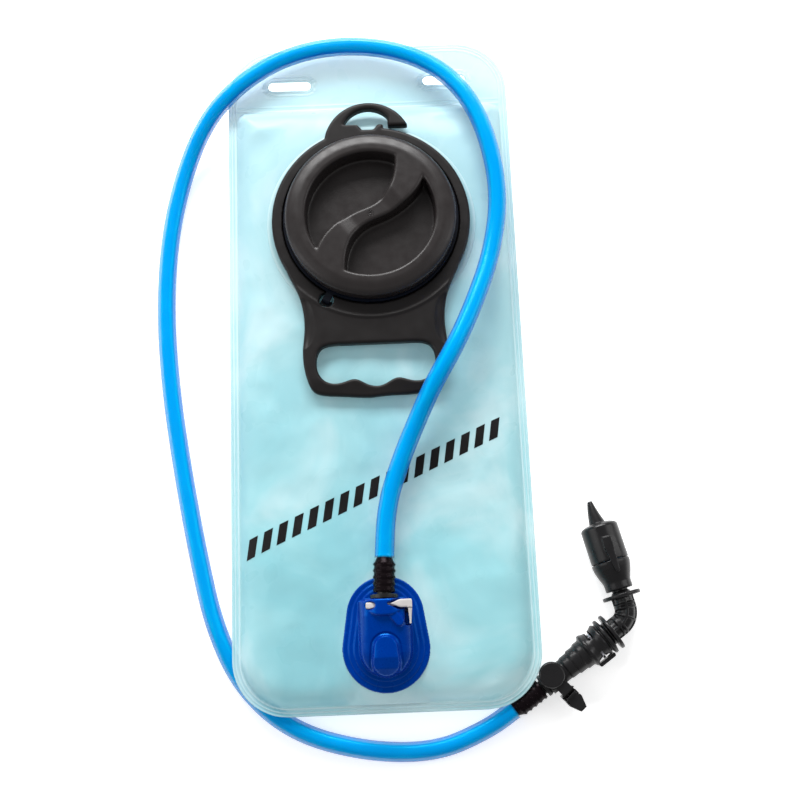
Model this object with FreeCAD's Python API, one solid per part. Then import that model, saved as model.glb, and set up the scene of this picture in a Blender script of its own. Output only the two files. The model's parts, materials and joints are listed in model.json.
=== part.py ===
"""Hydration bladder, lying flat. Millimetres. X across the bag, Y up the bag towards the hang
slots, Z up from the surface it lies on. The origin is under the middle of the bag."""
import FreeCAD
import Part
import math
import os
from FreeCAD import Placement, Rotation, Vector

UP = Vector(0, 0, 1)

# Bag
BAG_WIDTH = 175.0
BAG_HEIGHT = 410.0
BAG_CORNER = 32.0
SEAM_Z = 14.0
FILM = 0.6
TOP_Z = 26.0                      # flat top of the front film
HEADER = 41.0                     # depth of the flat header
SLOT_X = 48.8                     # hang slots: half their spacing
SLOT_DROP = 24.5                  # below the top edge
SLOT_LENGTH = 27.0
SLOT_WIDTH = 6.2
# Sections of each film: inset at the sides, below the header, at the foot, and height
FRONT_SECTIONS = [
    (5, 1, 5, SEAM_Z), (6.5, 4, 6, 18.5), (10, 8, 7.5, 22.5), (16, 12, 9.2, 25), (24, 17, 11, TOP_Z),
]
REAR_SECTIONS = [
    (5, 1, 5, SEAM_Z), (9, 5, 9, 9.5), (15, 10, 15, 5.5), (24, 18, 24, 2.2), (36, 28, 36, 0.5),
    (44, 34, 44, 0),
]
FOOT_CORNER = 29.0                # corner radii of a film's sections, before they grow with the inset
HEAD_CORNER = 7.0
FOOT_GROWTH = 0.2
HEAD_GROWTH = 0.6

# Filling neck, collar with handle and hook, cap
NECK_Y = 82.0
NECK_BORE = 42.5
NECK_RADIUS = 45.5
NECK_LIP_Z = 39.45
FLANGE_RADIUS = 63.0
FLANGE_TOP = 27.2
COLLAR_BORE = 46.1
COLLAR_RADIUS = 59.5
COLLAR_TOP = 33.0
COLLAR_SEAT = 29.4                # floor of the groove that the cap runs in
GROOVE_RADIUS = 53.2
CAP_RADIUS = 51.0
CAP_BOTTOM = 30.8
CAP_TOP = 44.0
CAP_CEILING = 41.0
SKIRT_BORE = 47.2
WELL_RADIUS = 41.6
POCKET_RADIUS = 38.4
POCKET_FLOOR = 31.5
WELL_BOTTOM = 29.4
TETHER_ANGLE = 240.8              # where the strap leaves the ring
TETHER_HOLE_REACH = 57.0          # its hole, from the neck's axis
TETHER_HOLE_RADIUS = 4.5

# Drinking port
PORT_Z = 35.0                     # height of the plug's axis
PORT_MOUTH_Y = -142.6
PORT_SEAT_Y = -157.0
PORT_OUTLET_Y = -171.0
PLUG_BORE = 5.3
HOSE_EXIT_Y = -140.5

# Hose
HOSE_OUTER = 5.5
HOSE_INNER = 3.75
BARB_CORE = 4.0
BARB_RIB = 4.9
BARB_PITCH = 3.6
WATERWAY = 2.9
LIMP_BEND = 55.0                  # smallest wanted bend radius, five hose diameters

# Quick coupling: its axis starts inside the hose and climbs a little off the ground
COUPLING_START = Vector(71.0, -205.6, 7.0)
COUPLING_HEADING = 35.5
COUPLING_PITCH = 4.0
COUPLING_STOP = 20.0              # where the hose ends on it
COUPLING_END = 67.0
SPIGOT_RADIUS = 5.45
SPIGOT_BORE = 5.6
ELBOW_REACH = 82.6                # from the start of the coupling's axis to the elbow's corner
ELBOW_RADIUS = 6.3
ELBOW_CORE = 5.3
ELBOW_BEND = 10.0
VALVE_HEADING = 104.0
VALVE_PITCH = -1.0
VALVE_REACH = 12.9                # from the elbow's corner to the shield at its other end
SHIELD_RADIUS = 11.0
COVER_RADIUS = 10.85

GAP = 0.25                        # working clearance round sliding plates
COIL_STEPS = 8                    # points on each turn of a spring

# Handle, hook, pockets and strap. The first two are right-hand halves of outlines
HANDLE_SIDE = [
    (0, -26.8), (17, -26.2), (29, -25.2), (36.2, -23.0), (39.8, -17.0), (42.2, -6.0), (42.4, 4.0),
    (41.5, 14.0), (41.8, 25.0), (44.0, 35.0), (48.9, 46.2), (52.0, 56.0), (42, 70), (0, 80),
]
HAND_HOLE_SIDE = [
    (0, -20.6), (6.0, -19.0), (12.3, -16.2), (18.5, -17.5), (24.5, -18.4), (30.5, -16.2), (34.2, -10),
    (34.4, -3), (31.8, 2.6), (26, 4.7), (17, 4.9), (9, 4.9), (0, 4.9),
]
HANDLE_EDGE = 1.5                 # rounding of its upper edges
HOOK_Y = 131.0
HOOK_RADIUS = 27.0
HOOK_EYE_Y = 138.0
HOOK_EYE_RADIUS = 15.7
HOOK_EYE_FLOOR = 143.5
HOOK_TIP_X = 12.2
HOOK_GAP_X = 9.4
HOOK_GAP_TOP = 142.0
NOTCH = [(-6.5, 144), (-3.4, 140.2), (3.4, 140.2), (6.5, 144)]
POCKET_EDGE = [(14.4, 23.5), (10.6, 14.4), (3.2, 6.8), (-8.1, 1.8), (-19.6, -5.0), (-29.0, -14.6)]
POCKET_START = 66.0               # the pocket's arc on the well's wall, in degrees
POCKET_END = 213.0
TETHER_GROOVE_LOW = 31.6
TETHER_GROOVE_HIGH = 33.8
TETHER_GROOVE_RADIUS = 49.7
TETHER_RING_OUTER = 52.4
TETHER_RING_LOW = 31.8
TETHER_RING_HIGH = 33.6
STRAP_HALF = 2.2
STRAP_REACH = 58.6

# Port housing, poppet and release clip
PORT_OUTLET_RADIUS = 3.5
PORT_FLANGE = [(24.3, -169.4, 21.6, -151.6), 0.9, 3.0, 3]    # egg, step height, step inset, steps
HOUSING_RADIUS = 14.8
HOUSING_FOOT_Y = -170.7
HOUSING_PROFILE = [
    (-144, 26.5), (-144, 41.0), (-152, 41.0), (-163, 39.3), (-180, 35.2), (-186, 32.5), (-186, 26.5),
]
BUMP_RADIUS = 7.9
BUMP_Y = (-177.2, -170.0)
BUMP_PROFILE = [
    (-158, 26.5), (-158, 41.3), (-174.6, 41.3), (-180.5, 38.6), (-184.6, 34.6), (-187, 30.0), (-187, 26.5),
]
SEAT_LAND = 5.5                   # depth of the poppet's seat behind the plug's nose
SEAT_BORE = 3.6
CHAMBER_RADIUS = 5.1
CHAMBER_DEPTH = 17.0
SOCKET_HALF_WIDTH = 11.4
SOCKET_LOW = 27.0
SOCKET_HIGH = 43.4
SOCKET_BACK_Y = -151.8
PLATE_Y = (-147.15, -145.45)      # the release clip's plate
EAR = (9.0, -154.6, 3.3)
TAB_RECESS = ((11.4, -157.6, 29.4), (18.0, -143.0, 45.0))
PLUG_SHOULDER = 7.85

# Hose route
HOSE_SAG = 0.2                    # the hose enters the coupling this much under its axis
HOSE_ROUTE = [                    # the run's points; its last two are on the coupling's axis
    (0, HOSE_EXIT_Y, PORT_Z),
    (0.8, -119, 34.6),
    (3.2, -91, 33.4),
    (11.5, -67, 33.4),
    (22, -44, 36.5),
    (32.5, -24, 45.0),
    (46, -2.5, 47.0),
    (58.5, 24, 42.0),
    (71, 57, 34.0),
    (77.6, 93, 32.0),
    (73.5, 129, 33.0),
    (63, 160, 30.5),
    (44.5, 184, 26.5),
    (16, 199, 23.5),
    (-19, 203, 23.0),
    (-52, 196, 23.0),
    (-80, 177.5, 24.5),
    (-101.5, 157, 17.5),
    (-117, 126, 7.4),
    (-126, 85, 5.9),
    (-128.2, 36, 6.0),
    (-124.5, -14, 5.9),
    (-117, -64, 6.0),
    (-108.0, -113, 5.9),
    (-98.5, -155, 6.0),
    (-82, -189, 5.9),
    (-54, -213.5, 6.0),
    (-14, -225.5, 5.9),
    (25, -227.3, 6.0),
    (54, -216.5, 5.8),
]

# Latch and button
LATCH_S = (57.2, 58.4)
BUTTON_S = (52.6, 63.6)
BUTTON_HALF = 4.4
BUTTON_Y = (9.4, 11.6)
BUTTON_FLOOR = 7.6
BUTTON_TRAVEL = 1.6

# Elbow: its round shield, ribs and bands
SHIELD_S = 68.7                   # the elbow's first shield
SPIGOT_TIP = 51.0
FIN_HALF = 0.6
BAND_S = (74.3, 75.5)             # round ribs on the two straight legs
BAND_T = (-5.6, -4.4)
BAND_SHARES = (0.08, 0.5, 0.92)   # and their places round the bend

# Bite valve and dust cover
BODY_FOOT = 3.5
BODY_TOP = 20.2
SNAP_ARM_X = 11.2                 # inner face of the cover's snap arm, and its outline
SNAP_ARM = [
    (-2.6, 33.6), (2.6, 33.6), (2.9, 29.0), (2.2, 22.0), (1.6, 13.4), (0.4, 12.8), (-0.6, 13.4), (-2.0, 22.0),
    (-2.9, 29.0),
]
NUB = [                           # sections of the cover's pull nub: offset, station, half height, half width
    (-0.2, 41.6, 5.4, 5.1), (-0.6, 47.0, 4.3, 3.7), (-0.7, 52.0, 3.0, 2.5), (-0.5, 56.4, 1.7, 1.4),
]

# Garment clip
CLIP_CENTRE = Vector(91.6, -187.6, 0)
CLIP_HEADING = -48.0
CLIP_COLLAR_S = (23.0, 31.0)
CLIP_COLLAR_RADIUS = 7.2
CLIP_BOSS_RADIUS = 3.6
CLIP_BOSS_TOP = 16.25
CLIP_DISC = (17.15, 19.4)
CLIP_DISC_RADIUS = 7.3
STUD_NECK = 2.4
JAW_ARM_Z = (16.35, 17.05)        # flat arm between the boss and the disc
JAW_ARM_HALF = 3.6
JAW_WALL_X = (12.2, 13.2)         # where the arm turns down, from the stud's axis
JAW_PIN_X = 16.4
JAW_PIN_Z = 10.9
JAW_PIN_RADIUS = 0.8
JAW_HALF = 4.4
JAW_EAR = 1.0
LOWER_JAW_Z = (7.2, 9.0)
UPPER_JAW_Z = (11.6, 13.2)
JAW_TIP = 26.0
COLLAR_SNAP_BORE = 6.05
STUD_SHAFT = 1.5
STUD_FOOT = 15.0
THUMB_TOP = 16.0
SPRING_HALF = 1.6
RUNNING_FIT = 0.05


def heading(azimuth, pitch=0.0):
    """Unit vector at an angle from +X towards +Y, raised by pitch."""
    flat = math.cos(math.radians(pitch))
    turn = math.radians(azimuth)
    return Vector(flat * math.cos(turn), flat * math.sin(turn), math.sin(math.radians(pitch)))


def local_frame(origin, axis):
    """Placement with local +Z along axis, local +X up and local +Y to its right."""
    right = axis.cross(UP).normalize()
    above = right.cross(axis).normalize()
    return Placement(origin, Rotation(above, right, axis, "ZXY"))


def placed(shape, placement):
    moved = shape.copy()
    moved.Placement = placement.multiply(moved.Placement)
    return moved


def cylinder(radius, low, high, x=0.0, y=0.0):
    return Part.makeCylinder(radius, high - low, Vector(x, y, low))


def tube(outer, inner, low, high, x=0.0, y=0.0):
    return cylinder(outer, low, high, x, y).cut(cylinder(inner, low, high, x, y))


def box(low, high):
    """Box between two corners."""
    size = [b - a for a, b in zip(low, high)]
    return Part.makeBox(*size, Vector(*low))


def turned(profile, x=0.0, y=0.0):
    """Solid of revolution about an upright axis, from a closed outline of (radius, height)."""
    points = [Vector(x + r, y, z) for r, z in profile]
    face = Part.Face(Part.makePolygon(points + points[:1]))
    return face.revolve(Vector(x, y, 0), UP, 360)


def plate(wire, low, high):
    """Flat wire, drawn at any height, as a plate from low to high."""
    face = Part.Face(wire)
    face.translate(Vector(0, 0, low - wire.BoundBox.ZMin))
    return face.extrude(Vector(0, 0, high - low))


def symmetric_loop(points):
    """Closed smooth outline: its right half runs through points from foot to head."""
    mirrored = [(-x, y) for x, y in reversed(points[1:-1])]
    curve = Part.BSplineCurve()
    curve.interpolate([Vector(x, y, 0) for x, y in points + mirrored], PeriodicFlag=True)
    return Part.Wire([curve.toShape()])


def rounded_outline(left, foot, right, head, foot_radius, head_radius, z):
    """Rectangle with round corners, as four lines and four arcs."""
    corners = [
        (Vector(right, foot, z), foot_radius, 1, 1),
        (Vector(right, head, z), head_radius, 1, -1),
        (Vector(left, head, z), head_radius, -1, -1),
        (Vector(left, foot, z), foot_radius, -1, 1),
    ]
    spans = []
    for corner, radius, across, along in corners:
        centre = corner + Vector(-across * radius, along * radius, 0)
        on_side = centre + Vector(across * radius, 0, 0)
        on_end = centre + Vector(0, -along * radius, 0)
        middle = centre + Vector(across, -along, 0).normalize() * radius
        spans.append((on_end, middle, on_side) if across == along else (on_side, middle, on_end))
    edges = []
    for number, (start, middle, end) in enumerate(spans):
        edges.append(Part.Arc(start, middle, end).toShape())
        following = spans[(number + 1) % len(spans)][0]
        edges.append(Part.LineSegment(end, following).toShape())
    return Part.Wire(edges)


def stadium(length, width, x, y, z):
    """Slot outline along X."""
    half = (length - width) / 2
    radius = width / 2
    low_left = Vector(x - half, y - radius, z)
    low_right = Vector(x + half, y - radius, z)
    high_left = Vector(x - half, y + radius, z)
    high_right = Vector(x + half, y + radius, z)
    return Part.Wire([
        Part.LineSegment(low_left, low_right).toShape(),
        Part.Arc(low_right, Vector(x + half + radius, y, z), high_right).toShape(),
        Part.LineSegment(high_right, high_left).toShape(),
        Part.Arc(high_left, Vector(x - half - radius, y, z), low_left).toShape(),
    ])


def egg(foot_radius, foot_y, head_radius, head_y, z):
    """Two circles on the Y axis joined by their outer tangents."""
    lean = math.asin((foot_radius - head_radius) / (head_y - foot_y))

    def touch(radius, y, side):
        return Vector(side * radius * math.cos(lean), y + radius * math.sin(lean), z)

    return Part.Wire([
        Part.Arc(touch(foot_radius, foot_y, -1), Vector(0, foot_y - foot_radius, z),
                 touch(foot_radius, foot_y, 1)).toShape(),
        Part.LineSegment(touch(foot_radius, foot_y, 1), touch(head_radius, head_y, 1)).toShape(),
        Part.Arc(touch(head_radius, head_y, 1), Vector(0, head_y + head_radius, z),
                 touch(head_radius, head_y, -1)).toShape(),
        Part.LineSegment(touch(head_radius, head_y, -1), touch(foot_radius, foot_y, -1)).toShape(),
    ])


def coil(radius, wire_radius, length, turns):
    """Round-wire spring along +Z from the origin, its length measured over the wire."""
    rise = length - 2 * wire_radius
    steps = turns * COIL_STEPS
    points = []
    for step in range(steps + 1):
        turn = 2 * math.pi * step / COIL_STEPS
        height = wire_radius + rise * step / steps
        points.append(Vector(radius * math.cos(turn), radius * math.sin(turn), height))
    path = Part.BSplineCurve()
    path.interpolate(points)
    start = path.tangent(path.FirstParameter)[0]
    section = Part.Wire([Part.makeCircle(wire_radius, points[0], start)])
    return Part.Wire([path.toShape()]).makePipeShell([section], True, True)


def tangent_path(points):
    """Straight runs joined by tangent arcs, and the radius of each arc."""
    edges = []
    radii = []
    start = points[0]
    for before, corner, after in zip(points, points[1:], points[2:]):
        arriving = (corner - before).normalize()
        leaving = (after - corner).normalize()
        turn = arriving.getAngle(leaving)
        reach = 0.45 * min((corner - before).Length, (after - corner).Length)
        radius = reach / math.tan(turn / 2)
        inward = (leaving - arriving).normalize()
        middle = corner + inward * (radius / math.cos(turn / 2) - radius)
        arc_start = corner - arriving * reach
        arc_end = corner + leaving * reach
        edges.append(Part.LineSegment(start, arc_start).toShape())
        edges.append(Part.Arc(arc_start, middle, arc_end).toShape())
        radii.append(radius)
        start = arc_end
    edges.append(Part.LineSegment(start, points[-1]).toShape())
    return Part.Wire(edges), radii


# ---------------------------------------------------------------- bag

def film_section(side, head, foot, z):
    """One level outline of the bag's body, inset from its welded rim."""
    return rounded_outline(
        -BAG_WIDTH / 2 + side, -BAG_HEIGHT / 2 + foot, BAG_WIDTH / 2 - side,
        BAG_HEIGHT / 2 - HEADER - head, FOOT_CORNER + FOOT_GROWTH * side, HEAD_CORNER + HEAD_GROWTH * side, z)


def film(sections, side):
    """One film of the bag: its flat rim and header, and its swelling body. side is 1 for the front."""
    rim = rounded_outline(-BAG_WIDTH / 2, -BAG_HEIGHT / 2, BAG_WIDTH / 2, BAG_HEIGHT / 2,
                          BAG_CORNER, BAG_CORNER, SEAM_Z)
    flat = Part.Face(rim).extrude(Vector(0, 0, side * FILM))
    body = Part.makeLoft([film_section(*s) for s in sections], True, True)
    inner = [film_section(s + FILM, h + FILM, f + FILM, z - side * FILM) for s, h, f, z in sections]
    hollow = Part.makeLoft(inner, True, True)
    shell = flat.fuse(body).cut(hollow)
    for x in (-SLOT_X, SLOT_X):
        slot = stadium(SLOT_LENGTH, SLOT_WIDTH, x, BAG_HEIGHT / 2 - SLOT_DROP, 0)
        shell = shell.cut(plate(slot, SEAM_Z - 2 * FILM, SEAM_Z + 2 * FILM))
    return shell


def bag_front_film():
    shell = film(FRONT_SECTIONS, 1)
    shell = shell.cut(cylinder(NECK_BORE, TOP_Z - 2, TOP_Z + 1, 0, NECK_Y))
    return shell.cut(cylinder(PORT_OUTLET_RADIUS, TOP_Z - 2, TOP_Z + 1, 0, PORT_OUTLET_Y))


def bag_rear_film():
    return film(REAR_SECTIONS, -1)


# ---------------------------------------------------------------- filling side

def fill_neck():
    return turned([
        (NECK_BORE, TOP_Z), (FLANGE_RADIUS, TOP_Z), (FLANGE_RADIUS - 0.4, FLANGE_TOP - 0.3),
        (FLANGE_RADIUS - 1.0, FLANGE_TOP), (NECK_RADIUS, FLANGE_TOP), (NECK_RADIUS, NECK_LIP_Z - 0.8),
        (NECK_RADIUS - 0.8, NECK_LIP_Z), (NECK_BORE, NECK_LIP_Z),
    ], 0, NECK_Y)


def handle_collar():
    """Collar, handle and hang hook: one flat outline with rounded edges, bored and grooved for the cap."""
    low = FLANGE_TOP
    high = COLLAR_TOP
    ring = cylinder(COLLAR_RADIUS, low, high, 0, NECK_Y)
    handle = plate(symmetric_loop(HANDLE_SIDE), low, high)
    hook = cylinder(HOOK_RADIUS, low, high, 0, HOOK_Y)
    eye = cylinder(HOOK_EYE_RADIUS, low, high, 0, HOOK_EYE_Y)
    eye = eye.common(box((-HOOK_RADIUS, HOOK_EYE_FLOOR, low), (HOOK_TIP_X, HOOK_Y + HOOK_RADIUS, high)))
    throat = box((HOOK_GAP_X, NECK_Y, low), (2 * HOOK_RADIUS, HOOK_GAP_TOP, high))
    passage = box((HOOK_GAP_X, HOOK_GAP_TOP - 1, low), (HOOK_TIP_X, HOOK_EYE_FLOOR + 1, high))
    hook = hook.cut(eye).cut(throat).cut(passage)
    body = ring.fuse([handle, hook]).removeSplitter()
    notch = Part.makePolygon([Vector(x, y, 0) for x, y in NOTCH + NOTCH[:1]])
    body = body.cut(plate(symmetric_loop(HAND_HOLE_SIDE), low, high)).cut(plate(notch, low, high))
    body = rounded(body, high, HANDLE_EDGE)
    body = body.cut(cylinder(COLLAR_BORE, low, high, 0, NECK_Y))
    body = body.cut(cylinder(GROOVE_RADIUS, COLLAR_SEAT, high, 0, NECK_Y))
    reach = Vector(0, NECK_Y, 0) + heading(TETHER_ANGLE) * TETHER_HOLE_REACH
    return body.cut(cylinder(TETHER_HOLE_RADIUS, low, high, reach.x, reach.y))


def rounded(solid, z, radius):
    """Rounds the edges in the plane at z, apart from the longer straight floor of the hook's eye."""
    edges = []
    for edge in solid.Edges:
        level = abs(edge.BoundBox.ZMin - z) < 1e-4 and abs(edge.BoundBox.ZMax - z) < 1e-4
        middle = edge.CenterOfMass
        eye_floor = abs(middle.y - HOOK_EYE_FLOOR) < 1e-3 and middle.x < 0
        if level and not eye_floor:
            edges.append(edge)
    return solid.makeFillet(radius, edges)


def grip_pocket():
    """One of the cap's two finger pockets: round outside, and S-shaped along the grip."""
    def on_wall(angle):
        return Vector(0, 0, POCKET_FLOOR) + heading(angle) * POCKET_RADIUS

    middle = (POCKET_START + POCKET_END) / 2
    wall = Part.Arc(on_wall(POCKET_START), on_wall(middle), on_wall(POCKET_END))
    grip = Part.BSplineCurve()
    inner = [Vector(x, y, POCKET_FLOOR) for x, y in reversed(POCKET_EDGE)]
    grip.interpolate([on_wall(POCKET_END)] + inner + [on_wall(POCKET_START)])
    face = Part.Face(Part.Wire([wall.toShape(), grip.toShape()]))
    return face.extrude(Vector(0, 0, CAP_TOP - POCKET_FLOOR))


def screw_cap():
    """Cap with a skirt, a seat for the gasket and a sunk well with two finger pockets."""
    shell = turned([
        (0, WELL_BOTTOM), (WELL_RADIUS, WELL_BOTTOM), (WELL_RADIUS, CAP_CEILING),
        (SKIRT_BORE, CAP_CEILING), (SKIRT_BORE, CAP_BOTTOM), (CAP_RADIUS, CAP_BOTTOM),
        (CAP_RADIUS, TETHER_GROOVE_LOW), (TETHER_GROOVE_RADIUS, TETHER_GROOVE_LOW),
        (TETHER_GROOVE_RADIUS, TETHER_GROOVE_HIGH), (CAP_RADIUS, TETHER_GROOVE_HIGH),
        (CAP_RADIUS, CAP_TOP), (0, CAP_TOP),
    ])
    outer_edge = [e for e in shell.Edges if abs(e.BoundBox.ZMin - CAP_TOP) < 1e-4]
    shell = shell.makeFillet(3.0, outer_edge)
    pocket = grip_pocket()
    opposite = pocket.copy()
    opposite.rotate(Vector(0, 0, 0), UP, 180)
    shell = shell.cut(pocket).cut(opposite)
    dimple = cylinder(1.1, CAP_TOP - 0.4, CAP_TOP)
    shell = rounded_pockets(shell).cut(dimple)
    shell.translate(Vector(0, NECK_Y, 0))
    return shell


def rounded_pockets(shell):
    """Rounds the pockets' upper edges and their floors."""
    inside = POCKET_RADIUS + 0.5
    edges = []
    for edge in shell.Edges:
        bounds = edge.BoundBox
        flat = bounds.ZMax - bounds.ZMin < 1e-4
        small = max(abs(bounds.XMin), abs(bounds.XMax), abs(bounds.YMin), abs(bounds.YMax)) < inside
        if flat and small and abs(bounds.ZMin - CAP_TOP) < 1e-4:
            edges.append(edge)
    return shell.makeFillet(1.8, edges)


def cap_gasket():
    return tube(46.9, 42.7, NECK_LIP_Z + 0.05, CAP_CEILING, 0, NECK_Y)


def tether_ring():
    """Loose ring in the cap's groove: the cap turns in it and lifts it."""
    return tube(TETHER_RING_OUTER, TETHER_GROOVE_RADIUS + 0.2, TETHER_RING_LOW, TETHER_RING_HIGH, 0, NECK_Y)


def tether_strap():
    """Strap from the ring, over the collar's groove, down into its hole, with a bar at its end."""
    start = TETHER_RING_OUTER
    thick = 1.2
    bend = 2 * thick
    foot = COLLAR_SEAT
    profile = [
        (start, TETHER_RING_LOW), (STRAP_REACH - bend, TETHER_RING_LOW), (STRAP_REACH - thick, foot + bend),
        (STRAP_REACH - thick, foot), (STRAP_REACH, foot), (STRAP_REACH, foot + bend),
        (STRAP_REACH - thick, TETHER_RING_LOW + thick), (start, TETHER_RING_LOW + thick),
    ]
    points = [Vector(r, -STRAP_HALF, z) for r, z in profile]
    strap = Part.Face(Part.makePolygon(points + points[:1])).extrude(Vector(0, 2 * STRAP_HALF, 0))
    bar_half = STRAP_HALF + 1
    bar = box((STRAP_REACH - 2 * thick, -bar_half, foot - thick), (STRAP_REACH + thick, bar_half, foot))
    strap = strap.fuse(bar).removeSplitter()
    strap = strap.cut(cylinder(start, 0, CAP_TOP))
    strap.rotate(Vector(0, 0, 0), UP, TETHER_ANGLE)
    strap.translate(Vector(0, NECK_Y, 0))
    return strap


# ---------------------------------------------------------------- drinking port


def along_y(shape, y=0.0, z=PORT_Z):
    """Shape drawn along +Z, laid along +Y with its zero at y."""
    return placed(shape, Placement(Vector(0, y, z), Rotation(Vector(1, 0, 0), -90)))


def side_profile(points, half_width):
    """Outline in the YZ plane, as a block across X."""
    corners = [Vector(-half_width, y, z) for y, z in points]
    return Part.Face(Part.makePolygon(corners + corners[:1])).extrude(Vector(2 * half_width, 0, 0))


def upright_slot(radius, low_y, high_y):
    """Slot outline along Y."""
    return egg(radius, low_y, radius, high_y, 0)


def port_base():
    """Weld flange in steps, sloping housing with a raised bump, and the socket for the plug."""
    outline, step, inset, steps = PORT_FLANGE
    foot_radius, foot_y, head_radius, head_y = outline
    layers = []
    for level in range(steps):
        shrink = level * inset
        wire = egg(foot_radius - shrink, foot_y, head_radius - shrink, head_y, 0)
        layers.append(plate(wire, TOP_Z, TOP_Z + (level + 1) * step))
    head_y = HOUSING_FOOT_Y + 2 * HOUSING_RADIUS
    body = plate(upright_slot(HOUSING_RADIUS, HOUSING_FOOT_Y, head_y), TOP_Z, CAP_TOP)
    body = body.common(side_profile(HOUSING_PROFILE, 2 * HOUSING_RADIUS))
    body = body.common(box((-HOUSING_RADIUS, -200, 0), (HOUSING_RADIUS, HOUSING_PROFILE[0][0], CAP_TOP)))
    body = body.cut(box(*TAB_RECESS))
    bump = plate(upright_slot(BUMP_RADIUS, *BUMP_Y), TOP_Z, CAP_TOP)
    bump = bump.common(side_profile(BUMP_PROFILE, 2 * HOUSING_RADIUS))
    centre_z = (SOCKET_LOW + SOCKET_HIGH) / 2
    half_height = (SOCKET_HIGH - SOCKET_LOW) / 2
    socket = rounded_outline(-SOCKET_HALF_WIDTH, -half_height, SOCKET_HALF_WIDTH, half_height, 7.0, 7.0, 0)
    socket = Part.Face(socket).extrude(Vector(0, 0, PORT_MOUTH_Y - SOCKET_BACK_Y))
    socket = along_y(socket, SOCKET_BACK_Y, centre_z)
    ear = cylinder(EAR[2], TOP_Z + step, SOCKET_HIGH - 3, EAR[0], EAR[1])
    solid = layers[0].fuse(layers[1:] + [body, bump, socket, ear]).removeSplitter()
    bores = [
        along_y(cylinder(PLUG_BORE, 0, PORT_MOUTH_Y - PORT_SEAT_Y), PORT_SEAT_Y),
        along_y(cylinder(SEAT_BORE, -SEAT_LAND, 0), PORT_SEAT_Y),
        along_y(cylinder(CHAMBER_RADIUS, -CHAMBER_DEPTH, -SEAT_LAND), PORT_SEAT_Y),
        along_y(cylinder(PLUG_SHOULDER + 0.2, 0, 15.0), PORT_MOUTH_Y),
        cylinder(PORT_OUTLET_RADIUS, TOP_Z, PORT_Z, 0, PORT_OUTLET_Y),
    ]
    slot_half = SOCKET_HALF_WIDTH + 1
    bores.append(box((-slot_half, PLATE_Y[0] - GAP, 29.4), (slot_half, PLATE_Y[1] + GAP, 41.4)))
    bores.append(box((-slot_half, PLATE_Y[0] - GAP, 41.0), (-4.2, PLATE_Y[1] + GAP, SOCKET_HIGH)))
    bores.append(box((1.9, PLATE_Y[0] - GAP, 41.0), (slot_half, PLATE_Y[1] + GAP, SOCKET_HIGH)))
    return solid.cut(bores[0].fuse(bores[1:]))


def port_poppet():
    """Valve head behind the seat, held open by the plug's nose."""
    shape = turned([
        (0, -12.0), (2.0, -12.0), (2.0, -8.6), (4.9, -8.6), (4.9, -7.9), (3.9, -7.9), (3.9, -7.1),
        (2.5, -6.6), (2.5, 0.45), (0, 0.45),
    ])
    return along_y(shape, PORT_SEAT_Y)


def poppet_seal():
    return along_y(tube(4.8, 3.95, -7.85, -6.9), PORT_SEAT_Y)


def poppet_spring():
    return along_y(coil(3.4, 0.35, 8.3, 3), PORT_SEAT_Y - CHAMBER_DEPTH + 0.05)


def port_plug():
    """Nose with its seal and latch grooves, a round shoulder, and the barb that holds the hose."""
    nose = [
        (2.2, 0.5), (4.4, 0.5), (5.2, 1.2), (5.2, 2.9), (3.9, 2.9), (3.9, 5.0), (5.2, 5.0),
        (5.2, PLATE_Y[0] - GAP - PORT_SEAT_Y), (4.2, PLATE_Y[0] - GAP - PORT_SEAT_Y),
        (4.2, PLATE_Y[1] + GAP - PORT_SEAT_Y), (5.2, PLATE_Y[1] + GAP - PORT_SEAT_Y),
        (5.2, PORT_MOUTH_Y - PORT_SEAT_Y + 0.1), (PLUG_SHOULDER, PORT_MOUTH_Y - PORT_SEAT_Y + 0.1),
        (PLUG_SHOULDER, HOSE_EXIT_Y - PORT_SEAT_Y - 0.4), (7.4, HOSE_EXIT_Y - PORT_SEAT_Y),
    ]
    start = HOSE_EXIT_Y - PORT_SEAT_Y
    outline = nose + barb(start, 5, 1)
    end = outline[-1][1]
    return along_y(turned(outline + [(WATERWAY, end), (WATERWAY, 4.0), (2.2, 3.4)]), PORT_SEAT_Y)


def barb(start, ribs, direction):
    """Outline of a hose barb: sloped ribs, then a tapered tip. Heights run from start."""
    points = [(BARB_CORE, start)]
    for rib in range(ribs):
        foot = start + direction * (1.2 + rib * BARB_PITCH)
        points += [(BARB_CORE, foot), (BARB_RIB, foot), (BARB_CORE, foot + direction * (BARB_PITCH - 0.9))]
    tip = start + direction * (1.2 + ribs * BARB_PITCH)
    return points + [(3.5, tip)]


def plug_o_ring():
    return along_y(tube(5.25, 3.95, 3.0, 4.9), PORT_SEAT_Y)


def release_clip():
    """Plate across the socket that locks in the plug's groove, with a thumb tab at its right end."""
    low, high = PLATE_Y
    shift = 1.5
    sheet = box((-9.0, low, 29.8), (14.4, high, 41.0))
    corner = box((-9.0, low, 41.0), (-4.6, high, 42.6))
    wedge = box((3.6, low, 41.0), (14.4, high, 42.6))
    tab = box((14.0, -157.0, 31.0), (16.6, high, 42.6))
    eye = along_y(cylinder(5.8, -20, 20), 0)
    eye.translate(Vector(shift, (low + high) / 2, 0))
    solid = sheet.fuse([corner, wedge, tab]).removeSplitter()
    outer = [edge for edge in solid.Edges if edge.BoundBox.XMin > 14.1]
    upright = [edge for edge in outer if edge.BoundBox.ZMax - edge.BoundBox.ZMin > 8]
    return solid.makeFillet(0.7, upright).cut(eye)


def release_spring():
    spring = coil(1.5, 0.25, 2.5, 2)
    start = Vector(SOCKET_HALF_WIDTH + 0.05, -149.6, PORT_Z)
    return placed(spring, Placement(start, Rotation(Vector(0, 1, 0), 90)))


# ---------------------------------------------------------------- hose

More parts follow.
